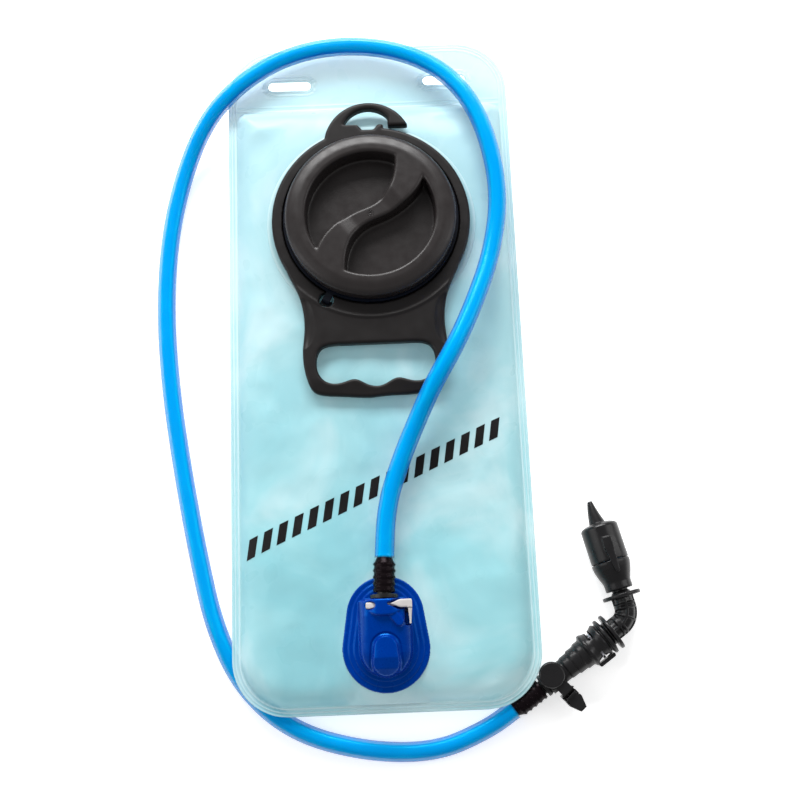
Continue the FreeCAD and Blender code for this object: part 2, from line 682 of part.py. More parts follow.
def on_coupling(distance):
    return COUPLING_START + heading(COUPLING_HEADING, COUPLING_PITCH) * distance


def drinking_hose():
    route = [Vector(*point) for point in HOSE_ROUTE]
    route += [on_coupling(0) - UP * HOSE_SAG, on_coupling(COUPLING_STOP)]
    path, radii = tangent_path(route)
    print("hose length %.1f, bend radii %s" % (path.Length, " ".join("%.0f" % r for r in radii)))
    start, following = route[0], route[1]
    rings = [Part.Wire([Part.makeCircle(r, start, following - start)]) for r in (HOSE_OUTER, HOSE_INNER)]
    section = Part.makeFace(rings, "Part::FaceMakerBullseye")
    solid = path.makePipe(section)
    print("hose volume %.1f, section times length %.1f" % (solid.Volume, section.Area * path.Length))
    return solid


# ---------------------------------------------------------------- quick coupling


def coupling_frame():
    return local_frame(COUPLING_START, heading(COUPLING_HEADING, COUPLING_PITCH))


def hose_coupling():
    """Barb, stepped tail, waisted grip and front flange, bored for the elbow's spigot."""
    outline = list(reversed(barb(COUPLING_STOP, 5, -1)))
    tip = outline[0][1]
    outline += [
        (6.4, COUPLING_STOP), (6.6, COUPLING_STOP + 0.4), (6.6, 22.0), (6.0, 22.4), (6.0, 31.6),
        (6.3, 32.0), (6.3, 36.0), (6.0, 36.2), (6.8, 36.8), (6.8, 41.0), (6.5, 41.2), (7.5, 41.9),
        (7.5, 46.4), (7.2, 46.6), (8.2, 47.3), (8.2, 51.0), (10.0, 52.0), (10.2, 53.2), (9.6, 54.2),
        (8.9, 56.2), (8.8, 57.8), (8.9, 59.4), (9.6, 61.0), (10.2, 62.0), (9.8, 63.0), (9.0, 63.4),
        (9.0, 64.2), (10.6, 64.4), (10.9, 65.0), (10.9, 65.8), (10.6, 66.4), (8.2, 66.6),
        (8.2, COUPLING_END), (SPIGOT_BORE, COUPLING_END), (SPIGOT_BORE, 50.0), (WATERWAY, 47.0),
        (WATERWAY, tip),
    ]
    solid = turned(outline)
    half = BUTTON_HALF + GAP
    solid = solid.cut(box((-half, BUTTON_FLOOR, BUTTON_S[0] - GAP), (half, 12, BUTTON_S[1] + GAP)))
    slot = box((-7.2 - GAP, -9.0, LATCH_S[0] - GAP), (7.2 + GAP, BUTTON_FLOOR + 1, LATCH_S[1] + GAP))
    window = box((2.0, -9.0, LATCH_S[0] - 0.9), (9.5, -4.4, LATCH_S[1] + 0.9))
    solid = solid.cut(slot.fuse(window))
    return placed(solid, coupling_frame())


def latch_plate():
    """Metal plate that locks in the spigot's groove; the button pushes it free."""
    shift = BUTTON_TRAVEL
    low, high = LATCH_S
    sheet = box((-7.0, -7.2, low), (7.0, 9.0, high)).common(cylinder(9.0, low, high))
    eye = cylinder(6.1, low - 1, high + 1, 0, shift)
    return placed(sheet.cut(eye), coupling_frame())


def coupling_button():
    """Finger tab on the coupling's right side."""
    low, high = BUTTON_Y
    tab = box((-BUTTON_HALF, low, BUTTON_S[0]), (BUTTON_HALF, high, BUTTON_S[1]))
    edges = [e for e in tab.Edges if e.BoundBox.YMin > high - 1e-3]
    tab = tab.makeFillet(1.1, edges)
    tab = tab.cut(cylinder_along_y(1.9, low, 10.6, 61.0))
    return placed(tab, coupling_frame())


def cylinder_along_y(radius, low, high, z):
    return Part.makeCylinder(radius, high - low, Vector(0, low, z), Vector(0, 1, 0))


def button_spring():
    seat = Placement(Vector(0, BUTTON_FLOOR + 0.05, 61.0), Rotation(Vector(1, 0, 0), -90))
    return placed(placed(coil(1.5, 0.2, 2.9, 2), seat), coupling_frame())


# ---------------------------------------------------------------- elbow


def elbow_points():
    """Corner of the elbow and the centre of the shield at its upper end."""
    corner = on_coupling(ELBOW_REACH)
    return corner, corner + heading(VALVE_HEADING, VALVE_PITCH) * VALVE_REACH


def valve_frame():
    """Local +Z runs along the bite valve from the upper shield."""
    corner, shield = elbow_points()
    return local_frame(shield, heading(VALVE_HEADING, VALVE_PITCH))


def elbow_path(start, end):
    """Run, arc and run between two distances from the elbow's corner."""
    corner, shield = elbow_points()
    arriving = heading(COUPLING_HEADING, COUPLING_PITCH)
    leaving = (shield - corner).normalize()
    turn = arriving.getAngle(leaving)
    reach = ELBOW_BEND * math.tan(turn / 2)
    inward = (leaving - arriving).normalize()
    middle = corner + inward * (ELBOW_BEND / math.cos(turn / 2) - ELBOW_BEND)
    first, last = corner - arriving * reach, corner + leaving * reach
    bend = Part.Arc(first, middle, last)
    edges = [Part.LineSegment(corner - arriving * start, first).toShape(), bend.toShape(),
             Part.LineSegment(last, corner + leaving * end).toShape()]
    return Part.Wire(edges), bend


def elbow():
    """Spigot with its grooves, two shields, and a bent leg with long and round ribs."""
    lower = turned([
        (0, SPIGOT_TIP), (SPIGOT_RADIUS - 0.5, SPIGOT_TIP), (SPIGOT_RADIUS, SPIGOT_TIP + 0.6),
        (SPIGOT_RADIUS, 52.6), (4.3, 52.6), (4.3, 54.6), (SPIGOT_RADIUS, 54.6),
        (SPIGOT_RADIUS, LATCH_S[0] - GAP), (4.4, LATCH_S[0] - GAP), (4.4, LATCH_S[1] + GAP),
        (SPIGOT_RADIUS, LATCH_S[1] + GAP), (SPIGOT_RADIUS, COUPLING_END + 0.3), (7.0, COUPLING_END + 0.3),
        (7.0, SHIELD_S), (10.7, SHIELD_S), (SHIELD_RADIUS, SHIELD_S + 0.4), (SHIELD_RADIUS, SHIELD_S + 1.7),
        (10.7, SHIELD_S + 2.1), (0, SHIELD_S + 2.1),
    ])
    upper = turned([
        (0, -1.1), (10.7, -1.1), (SHIELD_RADIUS, -0.7), (SHIELD_RADIUS, 0.7), (10.7, 1.1), (5.4, 1.1),
        (5.4, 2.2), (4.5, 2.2), (4.5, 5.0), (3.7, 5.0), (3.7, 6.8), (4.5, 6.8), (4.5, 9.0), (4.0, 9.6),
        (0, 9.6),
    ])
    path, bend = elbow_path(ELBOW_REACH - SHIELD_S - 1, VALVE_REACH - 0.5)
    arriving = heading(COUPLING_HEADING, COUPLING_PITCH)
    start = path.Vertexes[0].Point
    core = Part.Face(Part.Wire([Part.makeCircle(ELBOW_CORE, start, arriving)]))
    pieces = [path.makePipe(core)]
    for across, along in ((ELBOW_RADIUS, FIN_HALF), (FIN_HALF, ELBOW_RADIUS)):
        corners = [(-across, -along), (across, -along), (across, along), (-across, along), (-across, -along)]
        fin = Part.Face(Part.makePolygon([Vector(x, y, 0) for x, y in corners]))
        pieces.append(path.makePipe(placed(fin, local_frame(start, arriving))))
    pieces.append(placed(cylinder(ELBOW_RADIUS, *BAND_S), coupling_frame()))
    pieces.append(placed(cylinder(ELBOW_RADIUS, *BAND_T), valve_frame()))
    for share in BAND_SHARES:
        at = bend.FirstParameter + share * (bend.LastParameter - bend.FirstParameter)
        band = cylinder(ELBOW_RADIUS, -FIN_HALF, FIN_HALF)
        pieces.append(placed(band, local_frame(bend.value(at), bend.tangent(at)[0])))
    solid = placed(lower, coupling_frame())
    for piece in pieces + [placed(upper, valve_frame())]:
        solid = solid.fuse(piece)
    water, _ = elbow_path(ELBOW_REACH - SPIGOT_TIP + 1, VALVE_REACH + 11)
    mouth = Part.makeCircle(WATERWAY, water.Vertexes[0].Point, arriving)
    return solid.cut(water.makePipe(Part.Face(Part.Wire([mouth]))))


def elbow_o_ring():
    return placed(tube(SPIGOT_RADIUS + 0.05, 4.35, 52.7, 54.5), coupling_frame())


# ---------------------------------------------------------------- bite valve


def valve_body():
    solid = turned([
        (4.6, BODY_FOOT), (7.6, BODY_FOOT), (7.9, BODY_FOOT + 0.4), (7.9, 8.0), (8.4, 9.4), (9.6, 12.6),
        (10.6, 16.0), (11.0, 18.4), (11.0, BODY_TOP - 0.3), (10.7, BODY_TOP), (5.6, BODY_TOP), (5.6, 22.6),
        (6.1, 23.0), (6.1, 23.8), (5.2, 25.6), (3.0, 25.6), (3.0, 12.0), (4.6, 10.6),
    ])
    return placed(solid, valve_frame())


def valve_o_ring():
    return placed(tube(4.55, 3.75, 5.1, 6.7), valve_frame())


def bite_valve():
    """Soft mouthpiece pulled over the valve body's nipple, flattened towards its slit."""
    base = turned([(0, 20.3), (7.6, 20.3), (8.0, 20.8), (8.0, 23.2), (7.2, 25.4), (6.9, 28.0), (0, 28.0)])
    rings = []
    for station, wide, flat in [(27.6, 6.9, 6.9), (31.0, 6.9, 5.6), (35.0, 7.6, 3.6), (38.2, 8.2, 2.2)]:
        ellipse = Part.Ellipse(Vector(0, 0, station), wide, flat).toShape()
        rings.append(Part.Wire([ellipse]))
    lips = Part.makeLoft(rings, True)
    lips.rotate(Vector(0, 0, 0), UP, 90)
    solid = base.fuse(lips)
    room = turned([
        (0, 20.3), (5.7, 20.3), (5.7, 22.55), (6.2, 22.95), (6.2, 23.9), (5.3, 25.7), (3.2, 26.4),
        (3.2, 29.0), (0, 31.0),
    ])
    slit = box((-0.15, -5.5, 29.0), (0.15, 5.5, 40.0))
    return placed(solid.cut(room).cut(slit), valve_frame())


def dust_cover():
    """Cup over the mouthpiece with a pointed pull nub and a forked snap arm on its upper side."""
    cup = turned([
        (9.7, 20.5), (COVER_RADIUS - 0.3, 20.5), (COVER_RADIUS, 20.8), (COVER_RADIUS, 40.2), (10.2, 41.4),
        (7.4, 42.6), (0, 43.2), (0, 40.6), (6.5, 40.6), (9.7, 38.8),
    ])
    nub = Part.makeLoft([
        Part.Wire([Part.Ellipse(Vector(0.6, y, z), tall, wide).toShape()]) for y, z, tall, wide in NUB
    ], True)
    corners = [Vector(SNAP_ARM_X, y, z) for y, z in SNAP_ARM + SNAP_ARM[:1]]
    arm = Part.Face(Part.makePolygon(corners)).extrude(Vector(1.5, 0, 0))
    root = box((9.9, -2.4, 30.0), (12.0, 2.4, 33.4))
    solid = cup.fuse([nub, arm, root]).removeSplitter()
    return placed(solid, valve_frame())


# ---------------------------------------------------------------- garment clip


def clip_frame(z=0.0):
    """Local +X runs out along the jaws, local +Z stays up."""
    return Placement(Vector(CLIP_CENTRE.x, CLIP_CENTRE.y, z), Rotation(UP, CLIP_HEADING))


def clip_collar():
    """Open snap ring round the coupling's tail, with a boss for the swivel stud."""
    low, high = CLIP_COLLAR_S
    ring = tube(CLIP_COLLAR_RADIUS, COLLAR_SNAP_BORE, low, high)
    opening = box((-9, -3.6, low - 1), (0, 3.6, high + 1))
    boss = placed(cylinder(CLIP_BOSS_RADIUS, 9.0, CLIP_BOSS_TOP), clip_frame())
    boss = boss.cut(placed(cylinder(COLLAR_SNAP_BORE, low - 3, high + 3), coupling_frame()))
    bore = placed(cylinder(STUD_SHAFT, 9.0, CLIP_BOSS_TOP + 1), clip_frame())
    return placed(ring.cut(opening), coupling_frame()).fuse(boss).removeSplitter().cut(bore)


def clip_stud():
    """Round-headed stud: the clip swivels on its neck."""
    low, high = CLIP_DISC
    solid = turned([
        (0, STUD_FOOT), (STUD_SHAFT, STUD_FOOT), (STUD_SHAFT, CLIP_BOSS_TOP), (STUD_NECK, CLIP_BOSS_TOP),
        (STUD_NECK, low), (CLIP_DISC_RADIUS, low), (CLIP_DISC_RADIUS, high - 0.8),
        (CLIP_DISC_RADIUS - 0.8, high), (0, high),
    ])
    return placed(solid, clip_frame())


def clip_lower_jaw():
    """Lower jaw: a flat arm with a ring round the stud, a wall down, a blade and two ears for the pin."""
    arm_low, arm_high = JAW_ARM_Z
    low, high = LOWER_JAW_Z
    wall_near, wall_far = JAW_WALL_X
    pieces = [
        box((0, -JAW_ARM_HALF, arm_low), (wall_far, JAW_ARM_HALF, arm_high)),
        box((wall_near, -JAW_HALF, low), (wall_far, JAW_HALF, arm_high)),
        tapered_blade(wall_near, JAW_TIP, low, high),
    ]
    for side in (-JAW_HALF, JAW_HALF - JAW_EAR):
        ear = box((JAW_PIN_X - 1.6, side, low), (JAW_PIN_X + 1.6, side + JAW_EAR, JAW_PIN_Z + 1.6))
        pieces.append(ear)
    solid = cylinder(STUD_NECK + 3.0, arm_low, arm_high).fuse(pieces).removeSplitter()
    solid = solid.cut(cylinder(STUD_NECK + RUNNING_FIT, arm_low, arm_high))
    return placed(solid.cut(along_pin(JAW_PIN_RADIUS, JAW_HALF)), clip_frame())


def tapered_blade(start, end, low, high):
    """Flat jaw that narrows towards a blunt tip."""
    far_side = [(start, -JAW_HALF), (end - 6, -JAW_HALF), (end, -2.0)]
    near_side = [(x, -y) for x, y in reversed(far_side)]
    points = [Vector(x, y, low) for x, y in far_side + near_side]
    return Part.Face(Part.makePolygon(points + points[:1])).extrude(Vector(0, 0, high - low))


def along_pin(radius, half_length):
    start = Vector(JAW_PIN_X, -half_length, JAW_PIN_Z)
    return Part.makeCylinder(radius, 2 * half_length, start, Vector(0, 1, 0))


def clip_upper_jaw():
    """Upper jaw with two bearings, a toothed blade and a thumb tab that rises behind the pin."""
    low, high = UPPER_JAW_Z
    bearing_half = JAW_HALF - JAW_EAR - 0.2
    bearing = box((JAW_PIN_X - 1.4, -bearing_half, JAW_PIN_Z - 1.1), (JAW_PIN_X + 2.4, bearing_half, high))
    tab = box((JAW_PIN_X - 1.4, -bearing_half, JAW_PIN_Z), (JAW_PIN_X - 0.4, bearing_half, THUMB_TOP))
    pieces = [bearing, tab]
    for number in range(3):
        x = JAW_TIP - 1.2 - 1.8 * number
        pieces.append(box((x, -1.9, LOWER_JAW_Z[1] + 0.1), (x + 0.9, 1.9, low)))
    solid = tapered_blade(JAW_PIN_X + 1.9, JAW_TIP, low, high).fuse(pieces).removeSplitter()
    recess_half = SPRING_HALF + 0.2
    recess = box((JAW_PIN_X - 2, -recess_half, JAW_PIN_Z - 2), (JAW_PIN_X + 1.9, recess_half, low + 1.1))
    solid = solid.cut(recess).cut(along_pin(JAW_PIN_RADIUS + RUNNING_FIT, JAW_HALF))
    return placed(solid, clip_frame())


def jaw_pin():
    return placed(along_pin(JAW_PIN_RADIUS, JAW_HALF), clip_frame())


def jaw_spring():
    """Coil round the pin, between the upper jaw's bearings."""
    spring = coil(1.5, 0.2, 2 * SPRING_HALF, 2)
    start = Vector(JAW_PIN_X, -SPRING_HALF, JAW_PIN_Z)
    return placed(placed(spring, Placement(start, Rotation(Vector(1, 0, 0), -90))), clip_frame())


def save(name, shape):
    solids = shape.Solids
    whole = solids[0] if len(solids) == 1 else Part.makeCompound(solids)
    whole.exportStep(os.path.join("parts", name + ".step"))
    box_now = whole.BoundBox
    print("%-18s solids %d valid %s volume %9.1f  z %.2f to %.2f" % (
        name, len(solids), whole.isValid(), whole.Volume, box_now.ZMin, box_now.ZMax))


NODES = [
    bag_front_film, bag_rear_film, fill_neck, handle_collar, screw_cap, cap_gasket, tether_ring,
    tether_strap, port_base, port_poppet, poppet_seal, poppet_spring, port_plug, plug_o_ring,
    release_clip, release_spring, drinking_hose, hose_coupling, latch_plate, coupling_button,
    button_spring, elbow, elbow_o_ring, valve_body, valve_o_ring, bite_valve, dust_cover,
    clip_collar, clip_stud, clip_lower_jaw, clip_upper_jaw, jaw_pin, jaw_spring,
]


def main():
    os.makedirs("parts", exist_ok=True)
    for build in NODES:
        save(build.__name__, build())


if __name__ == "__main__":
    main()
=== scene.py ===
"""Hydration bladder lying flat on a pale studio floor.

Lengths in the mesh code are millimetres and become metres in new_object() and displaced().
"""
import json
import math
import bmesh
import bpy
import numpy as np
from mathutils import Matrix, Vector, noise


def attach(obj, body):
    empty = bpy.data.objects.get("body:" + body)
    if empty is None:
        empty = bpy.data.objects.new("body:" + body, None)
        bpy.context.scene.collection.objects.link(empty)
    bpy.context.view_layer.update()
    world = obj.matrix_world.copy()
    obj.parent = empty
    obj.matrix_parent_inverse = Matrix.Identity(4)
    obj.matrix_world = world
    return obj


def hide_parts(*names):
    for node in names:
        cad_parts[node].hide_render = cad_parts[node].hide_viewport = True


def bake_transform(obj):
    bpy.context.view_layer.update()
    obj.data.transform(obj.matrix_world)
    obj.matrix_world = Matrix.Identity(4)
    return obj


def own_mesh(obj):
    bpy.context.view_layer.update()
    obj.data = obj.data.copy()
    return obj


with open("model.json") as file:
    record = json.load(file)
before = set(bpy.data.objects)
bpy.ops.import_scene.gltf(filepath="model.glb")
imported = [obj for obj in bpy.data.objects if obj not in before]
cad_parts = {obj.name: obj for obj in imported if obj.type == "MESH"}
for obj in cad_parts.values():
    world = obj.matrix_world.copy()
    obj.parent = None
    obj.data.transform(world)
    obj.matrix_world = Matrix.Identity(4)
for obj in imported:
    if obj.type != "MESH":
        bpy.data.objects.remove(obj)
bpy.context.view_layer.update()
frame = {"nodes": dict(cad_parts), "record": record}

MM = 0.001
BODY = {node: body for body, nodes in frame["record"]["behaviour"]["bodies"].items() for node in nodes}
JOINTS = {joint["name"]: joint for joint in frame["record"]["behaviour"]["joints"]}
NECK = (0.0, 82.0)


# ------------------------------------------------------------------ helpers

def smoothstep(value, low, high):
    """0 up to low, 1 from high on, and a smooth S between them."""
    share = np.clip((value - low) / (high - low), 0.0, 1.0)
    return share * share * (3 - 2 * share)


def ridge(distance, width):
    """Rounded bead: 1 on the line, 0 beyond its half width."""
    return np.clip(1 - (distance / (width / 2)) ** 2, 0, 1)


def new_object(name, verts, faces, material, smooth=True):
    """Mesh object from points in millimetres."""
    mesh = bpy.data.meshes.new(name)
    points = [tuple(vert) for vert in np.asarray(verts, float) * MM]
    mesh.from_pydata(points, [], [tuple(map(int, face)) for face in faces])
    mesh.validate()
    piece = bpy.data.objects.new(name, mesh)
    bpy.context.scene.collection.objects.link(piece)
    mesh.materials.append(material)
    if smooth:
        mesh.shade_smooth()
    return piece


def grid_faces(rows, columns, wrap_rows=False, wrap_columns=False):
    """Quads over a grid of points stored row by row."""
    faces = []
    for i in range(rows if wrap_rows else rows - 1):
        for j in range(columns if wrap_columns else columns - 1):
            right, down = (j + 1) % columns, (i + 1) % rows
            faces.append((i * columns + j, i * columns + right, down * columns + right, down * columns + j))
    return faces


def apply_modifiers(piece):
    """Puts the evaluated mesh in place of the piece's own."""
    graph = bpy.context.evaluated_depsgraph_get()
    mesh = bpy.data.meshes.new_from_object(piece.evaluated_get(graph), preserve_all_data_layers=True,
                                           depsgraph=graph)
    piece.modifiers.clear()
    piece.data = mesh


def mark_points(piece, name, values):
    """Stores one number per vertex under a name that the materials read."""
    attribute = piece.data.attributes.new(name, "FLOAT", "POINT")
    attribute.data.foreach_set("value", values)


def lathe(name, profile, material, segments):
    """Piece turned round the neck's axis from a closed profile of (radius, height)."""
    profile = np.array(profile, float)
    angles = np.linspace(0, 2 * math.pi, segments, endpoint=False)
    points = np.stack([
        np.outer(profile[:, 0], np.cos(angles)), np.outer(profile[:, 0], np.sin(angles)),
        np.outer(profile[:, 1], np.ones(segments))], axis=-1).reshape(-1, 3)
    piece = new_object(name, points, grid_faces(len(profile), segments, True, True), material)
    piece.data.transform(Matrix.Translation((NECK[0] * MM, NECK[1] * MM, 0)))
    bevel = piece.modifiers.new("edges", "BEVEL")
    bevel.width = 0.25 * MM
    bevel.segments = 2
    bevel.angle_limit = math.radians(35)
    apply_modifiers(piece)
    piece.data.shade_smooth()
    return piece


def soften(node, material, voxel, rounds):
    """Copy of a CAD node's mesh, remeshed finely and smoothed so that its edges are moulded."""
    mesh = frame["nodes"][node].data.copy()
    build = bmesh.new()
    build.from_mesh(mesh)
    bmesh.ops.remove_doubles(build, verts=build.verts, dist=0.002 * MM)
    build.to_mesh(mesh)
    build.free()
    mesh.materials.clear()
    mesh.materials.append(material)
    piece = bpy.data.objects.new("moulded_" + node, mesh)
    bpy.context.scene.collection.objects.link(piece)
    remesh = piece.modifiers.new("remesh", "REMESH")
    remesh.mode = "VOXEL"
    remesh.voxel_size = voxel * MM
    relax = piece.modifiers.new("relax", "SMOOTH")
    relax.factor = 0.5
    relax.iterations = rounds
    apply_modifiers(piece)
    piece.data.shade_smooth()
    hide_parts(node)
    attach(piece, BODY[node])
    return piece


def points_of(piece):
    """Vertices of a piece, in millimetres."""
    points = np.empty(len(piece.data.vertices) * 3)
    piece.data.vertices.foreach_get("co", points)
    return points.reshape(-1, 3) / MM


def displaced(piece, move):
    """Moves every vertex by the offset that move gives for it."""
    points = points_of(piece)
    piece.data.vertices.foreach_set("co", ((points + move(points)) * MM).reshape(-1))
    piece.data.update()


def round_neck(points):
    """Offsets from the neck's axis, and the distance from it."""
    x, y = points[:, 0] - NECK[0], points[:, 1] - NECK[1]
    return x, y, np.hypot(x, y)


# ------------------------------------------------------------------ materials

MIX_FACTOR, MIX_LOW, MIX_HIGH, MIX_RESULT = 0, 6, 7, 2  # sockets of the Mix node that work on colours


class Nodes:
    """Short way to build a node material round one Principled shader."""

    def __init__(self, name):
        self.material = bpy.data.materials.new(name)
        self.material.use_nodes = True
        self.tree = self.material.node_tree
        self.shader = self.tree.nodes["Principled BSDF"]
        self.coordinates = self.tree.nodes.new("ShaderNodeTexCoord").outputs["Object"]

    def add(self, kind, inputs=None, **settings):
        node = self.tree.nodes.new(kind)
        for key, value in settings.items():
            setattr(node, key, value)
        for key, value in (inputs or {}).items():
            self.put(node, key, value)
        return node

    def put(self, node, key, value):
        socket = node.inputs[key]
        if isinstance(value, bpy.types.NodeSocket):
            self.tree.links.new(value, socket)
        else:
            socket.default_value = value

    def set(self, **values):
        for key, value in values.items():
            self.put(self.shader, key.replace("_", " "), value)

    def noise(self, scale, detail=3.0, roughness=0.5, distortion=0.0):
        return self.add("ShaderNodeTexNoise", {
            "Vector": self.coordinates, "Scale": scale, "Detail": detail, "Roughness": roughness,
            "Distortion": distortion}).outputs["Fac"]

    def ramp(self, factor, stops):
        node = self.add("ShaderNodeValToRGB", {"Fac": factor})
        while len(node.color_ramp.elements) < len(stops):
            node.color_ramp.elements.new(0.5)
        for element, (place, colour) in zip(node.color_ramp.elements, stops):
            element.position = place
            element.color = (*colour, 1)
        return node.outputs["Color"]

    def mix(self, factor, low, high):
        node = self.add("ShaderNodeMix", data_type="RGBA")
        self.put(node, MIX_FACTOR, factor)
        for socket, colour in ((MIX_LOW, low), (MIX_HIGH, high)):
            self.put(node, socket, colour if isinstance(colour, bpy.types.NodeSocket) else (*colour, 1))
        return node.outputs[MIX_RESULT]

    def range(self, value, low, high, from_low=0.3, from_high=0.7):
        return self.add("ShaderNodeMapRange", {
            "Value": value, "From Min": from_low, "From Max": from_high, "To Min": low, "To Max": high,
        }).outputs["Result"]

    def attribute(self, name):
        return self.add("ShaderNodeAttribute", attribute_name=name).outputs["Fac"]

    def bump(self, height, strength, depth, after=None):
        inputs = {"Height": height, "Strength": strength, "Distance": depth * MM}
        if after is not None:
            inputs["Normal"] = after
        return self.add("ShaderNodeBump", inputs).outputs["Normal"]


def shade(colour, factor):
    return tuple(min(1.0, channel * factor) for channel in colour)


def moulded_plastic(name, colour, rough, grain=2600, grain_depth=0.03, coat=0.0, specular=0.5,
                    sheen=(1, 1, 1)):
    """Injection-moulded plastic: fine spark-eroded grain, faint mottling and uneven sheen."""
    mottling = 0.12
    build = Nodes(name)
    broad = build.noise(45, 4, 0.55, 0.3)
    dark, light = shade(colour, 1 - mottling), shade(colour, 1 + mottling)
    build.set(Base_Color=build.mix(build.range(broad, 0, 1), dark, light))
    fine = build.noise(grain, 2, 0.6)
    build.set(Roughness=build.range(build.noise(160, 3), rough - 0.05, rough + 0.06))
    normal = build.bump(fine, 0.35, grain_depth)
    build.set(Normal=build.bump(broad, 0.25, 0.25, normal))
    build.set(Specular_IOR_Level=specular, Specular_Tint=(*sheen, 1), Coat_Weight=coat, Coat_Roughness=0.12)
    return build.material


CHARCOAL = moulded_plastic("charcoal_plastic", (0.011, 0.0095, 0.0095), 0.40, specular=0.20)
CHARCOAL_CAP = moulded_plastic("charcoal_cap_plastic", (0.018, 0.0148, 0.0148), 0.35, grain=3200,
                               specular=0.30)
TETHER_DARK = moulded_plastic("tether_plastic", (0.002, 0.004, 0.010), 0.30, specular=0.22)
BLUE = moulded_plastic("blue_plastic", (0.0, 0.026, 0.27), 0.27, grain=3000, grain_depth=0.02,
                       specular=0.9, sheen=(0.0, 0.34, 1.0))
GREY = moulded_plastic("grey_plastic", (0.60, 0.57, 0.56), 0.34, grain=3000, grain_depth=0.02)
BLACK = moulded_plastic("black_plastic", (0.008, 0.0077, 0.0085), 0.29, grain=3000, grain_depth=0.02,
                        specular=0.3)
SEAL = moulded_plastic("seal_rubber", (0.006, 0.006, 0.0065), 0.50, grain=1800, specular=0.2)
BITE = moulded_plastic("bite_silicone", (0.22, 0.48, 0.72), 0.42, grain=1500, coat=0.1)
PRINT = moulded_plastic("print_ink", (0.004, 0.0035, 0.004), 0.5, grain=900, grain_depth=0.01,
                        specular=0.2)


def steel(name):
    """Drawn wire and sheet: fine streaks in tone and roughness."""
    build = Nodes(name)
    streaks = build.noise(900, 2, 0.6, 1.5)
    build.set(Base_Color=build.mix(build.range(streaks, 0, 1), (0.20, 0.20, 0.22), (0.34, 0.34, 0.37)))
    build.set(Roughness=build.range(streaks, 0.22, 0.38), Metallic=1.0)
    return build.material


STEEL = steel("spring_steel")
FILM_DEEP = (0.25, 0.60, 0.66)
FILM_MIDDLE = (0.33, 0.68, 0.73)
FILM_LIGHT = (0.56, 0.81, 0.84)
FILM_TOP = (0.52, 0.73, 0.79)
FILM_MILKY = (0.64, 0.84, 0.87)


def film_material(name, opacity, flat_opacity, seam_opacity):
    """Tinted clear film: soft cloudy drift, finely puckered surface, milky along its weld lines."""
    build = Nodes(name)
    weld = build.attribute("weld")
    flat = build.attribute("flat")
    cloud = build.noise(13, 4, 0.5, 0.6)
    body = build.ramp(cloud, [(0.38, FILM_DEEP), (0.50, FILM_MIDDLE), (0.62, FILM_LIGHT)])
    towards_header = build.add("ShaderNodeSeparateXYZ", {"Vector": build.coordinates}).outputs["Y"]
    toned = build.mix(build.range(towards_header, 0, 0.75, -0.12, 0.20), body, FILM_TOP)
    build.set(Base_Color=build.mix(weld, toned, FILM_MILKY))
    opaque = build.range(flat, opacity, flat_opacity, 0.0, 1.0)
    milky = build.range(weld, 0, seam_opacity, 0, 1)
    total_opacity = build.add("ShaderNodeMath", {0: opaque, 1: milky}, operation="ADD", use_clamp=True)
    build.set(Alpha=total_opacity.outputs[0])
    creases = build.noise(45, 2, 0.5, 0.2)
    fine = build.noise(900, 2, 0.5)
    normal = build.bump(creases, 0.22, 1.4)
    build.set(Normal=build.bump(fine, 0.12, 0.05, normal))
    build.set(Roughness=build.range(creases, 0.24, 0.38), Specular_IOR_Level=0.28)
    return build.material


FRONT_FILM = film_material("clear_film", 0.70, 0.58, 0.22)
NECK_FILM = film_material("neck_film", 0.55, 0.50, 0.25)
BARB_TINT = (0.0040, 0.0026, 0.0034)


def hose_material(name, stops, opacity, grip_opacity, rough, gloss):
    """Tinted tube with painted highlight and shade streaks along it, lighter on top and darker below by how
    far each place faces up, and dark over a barb.
    """
    build = Nodes(name)
    # Colour by how far each place faces up, with a little noise: painted light on the upper side, painted
    # shade on the lower side.
    painted_light_facing_up = build.attribute("painted_light_facing_up")
    drift = build.add("ShaderNodeMath", {0: build.range(build.noise(30, 2, 0.5), -0.06, 0.06), 1: painted_light_facing_up},
                      operation="ADD").outputs[0]
    grip = build.attribute("grip")
    build.set(Base_Color=build.mix(grip, build.ramp(drift, stops), BARB_TINT))
    build.set(Roughness=build.range(build.noise(200, 2), rough, rough + 0.05))
    build.set(Alpha=build.range(grip, opacity, grip_opacity, 0.0, 1.0))
    build.set(Normal=build.bump(build.noise(260, 2), 0.1, 0.1))
    build.set(Specular_IOR_Level=build.range(grip, gloss, 0.10, 0, 1))
    build.set(Specular_Tint=build.mix(grip, (0.04, 0.62, 1.0), (1.0, 0.8, 0.86)))
    return build.material


# Ramp stops run from the hose's underside (0) to its top (1): painted shade low down, painted highlight
# streaks high up.
HOSE_OUTER = hose_material("hose_plastic", [
    (0.40, (0.0, 0.22, 0.66)), (0.56, (0.0, 0.34, 0.80)), (0.68, (0.0, 0.18, 0.70)),
    (0.78, (0.0, 0.36, 0.86)), (0.92, (0.0, 0.44, 0.92)), (0.99, (0.0, 0.36, 0.86)),
], opacity=0.60, grip_opacity=0.05, rough=0.12, gloss=0.30)
HOSE_BORE = hose_material("hose_bore_plastic", [
    (0.45, (0.0, 0.14, 0.60)), (0.68, (0.0, 0.18, 0.72)), (0.80, (0.0, 0.72, 1.0)),
    (0.90, (0.0, 0.68, 1.0)), (0.945, (0.0, 0.34, 0.86)), (0.97, (0.0, 0.62, 1.0)),
    (1.0, (0.0, 0.52, 0.96)),
], opacity=0.88, grip_opacity=1.0, rough=0.25, gloss=0.3)


# ------------------------------------------------------------------ camera, light and floor

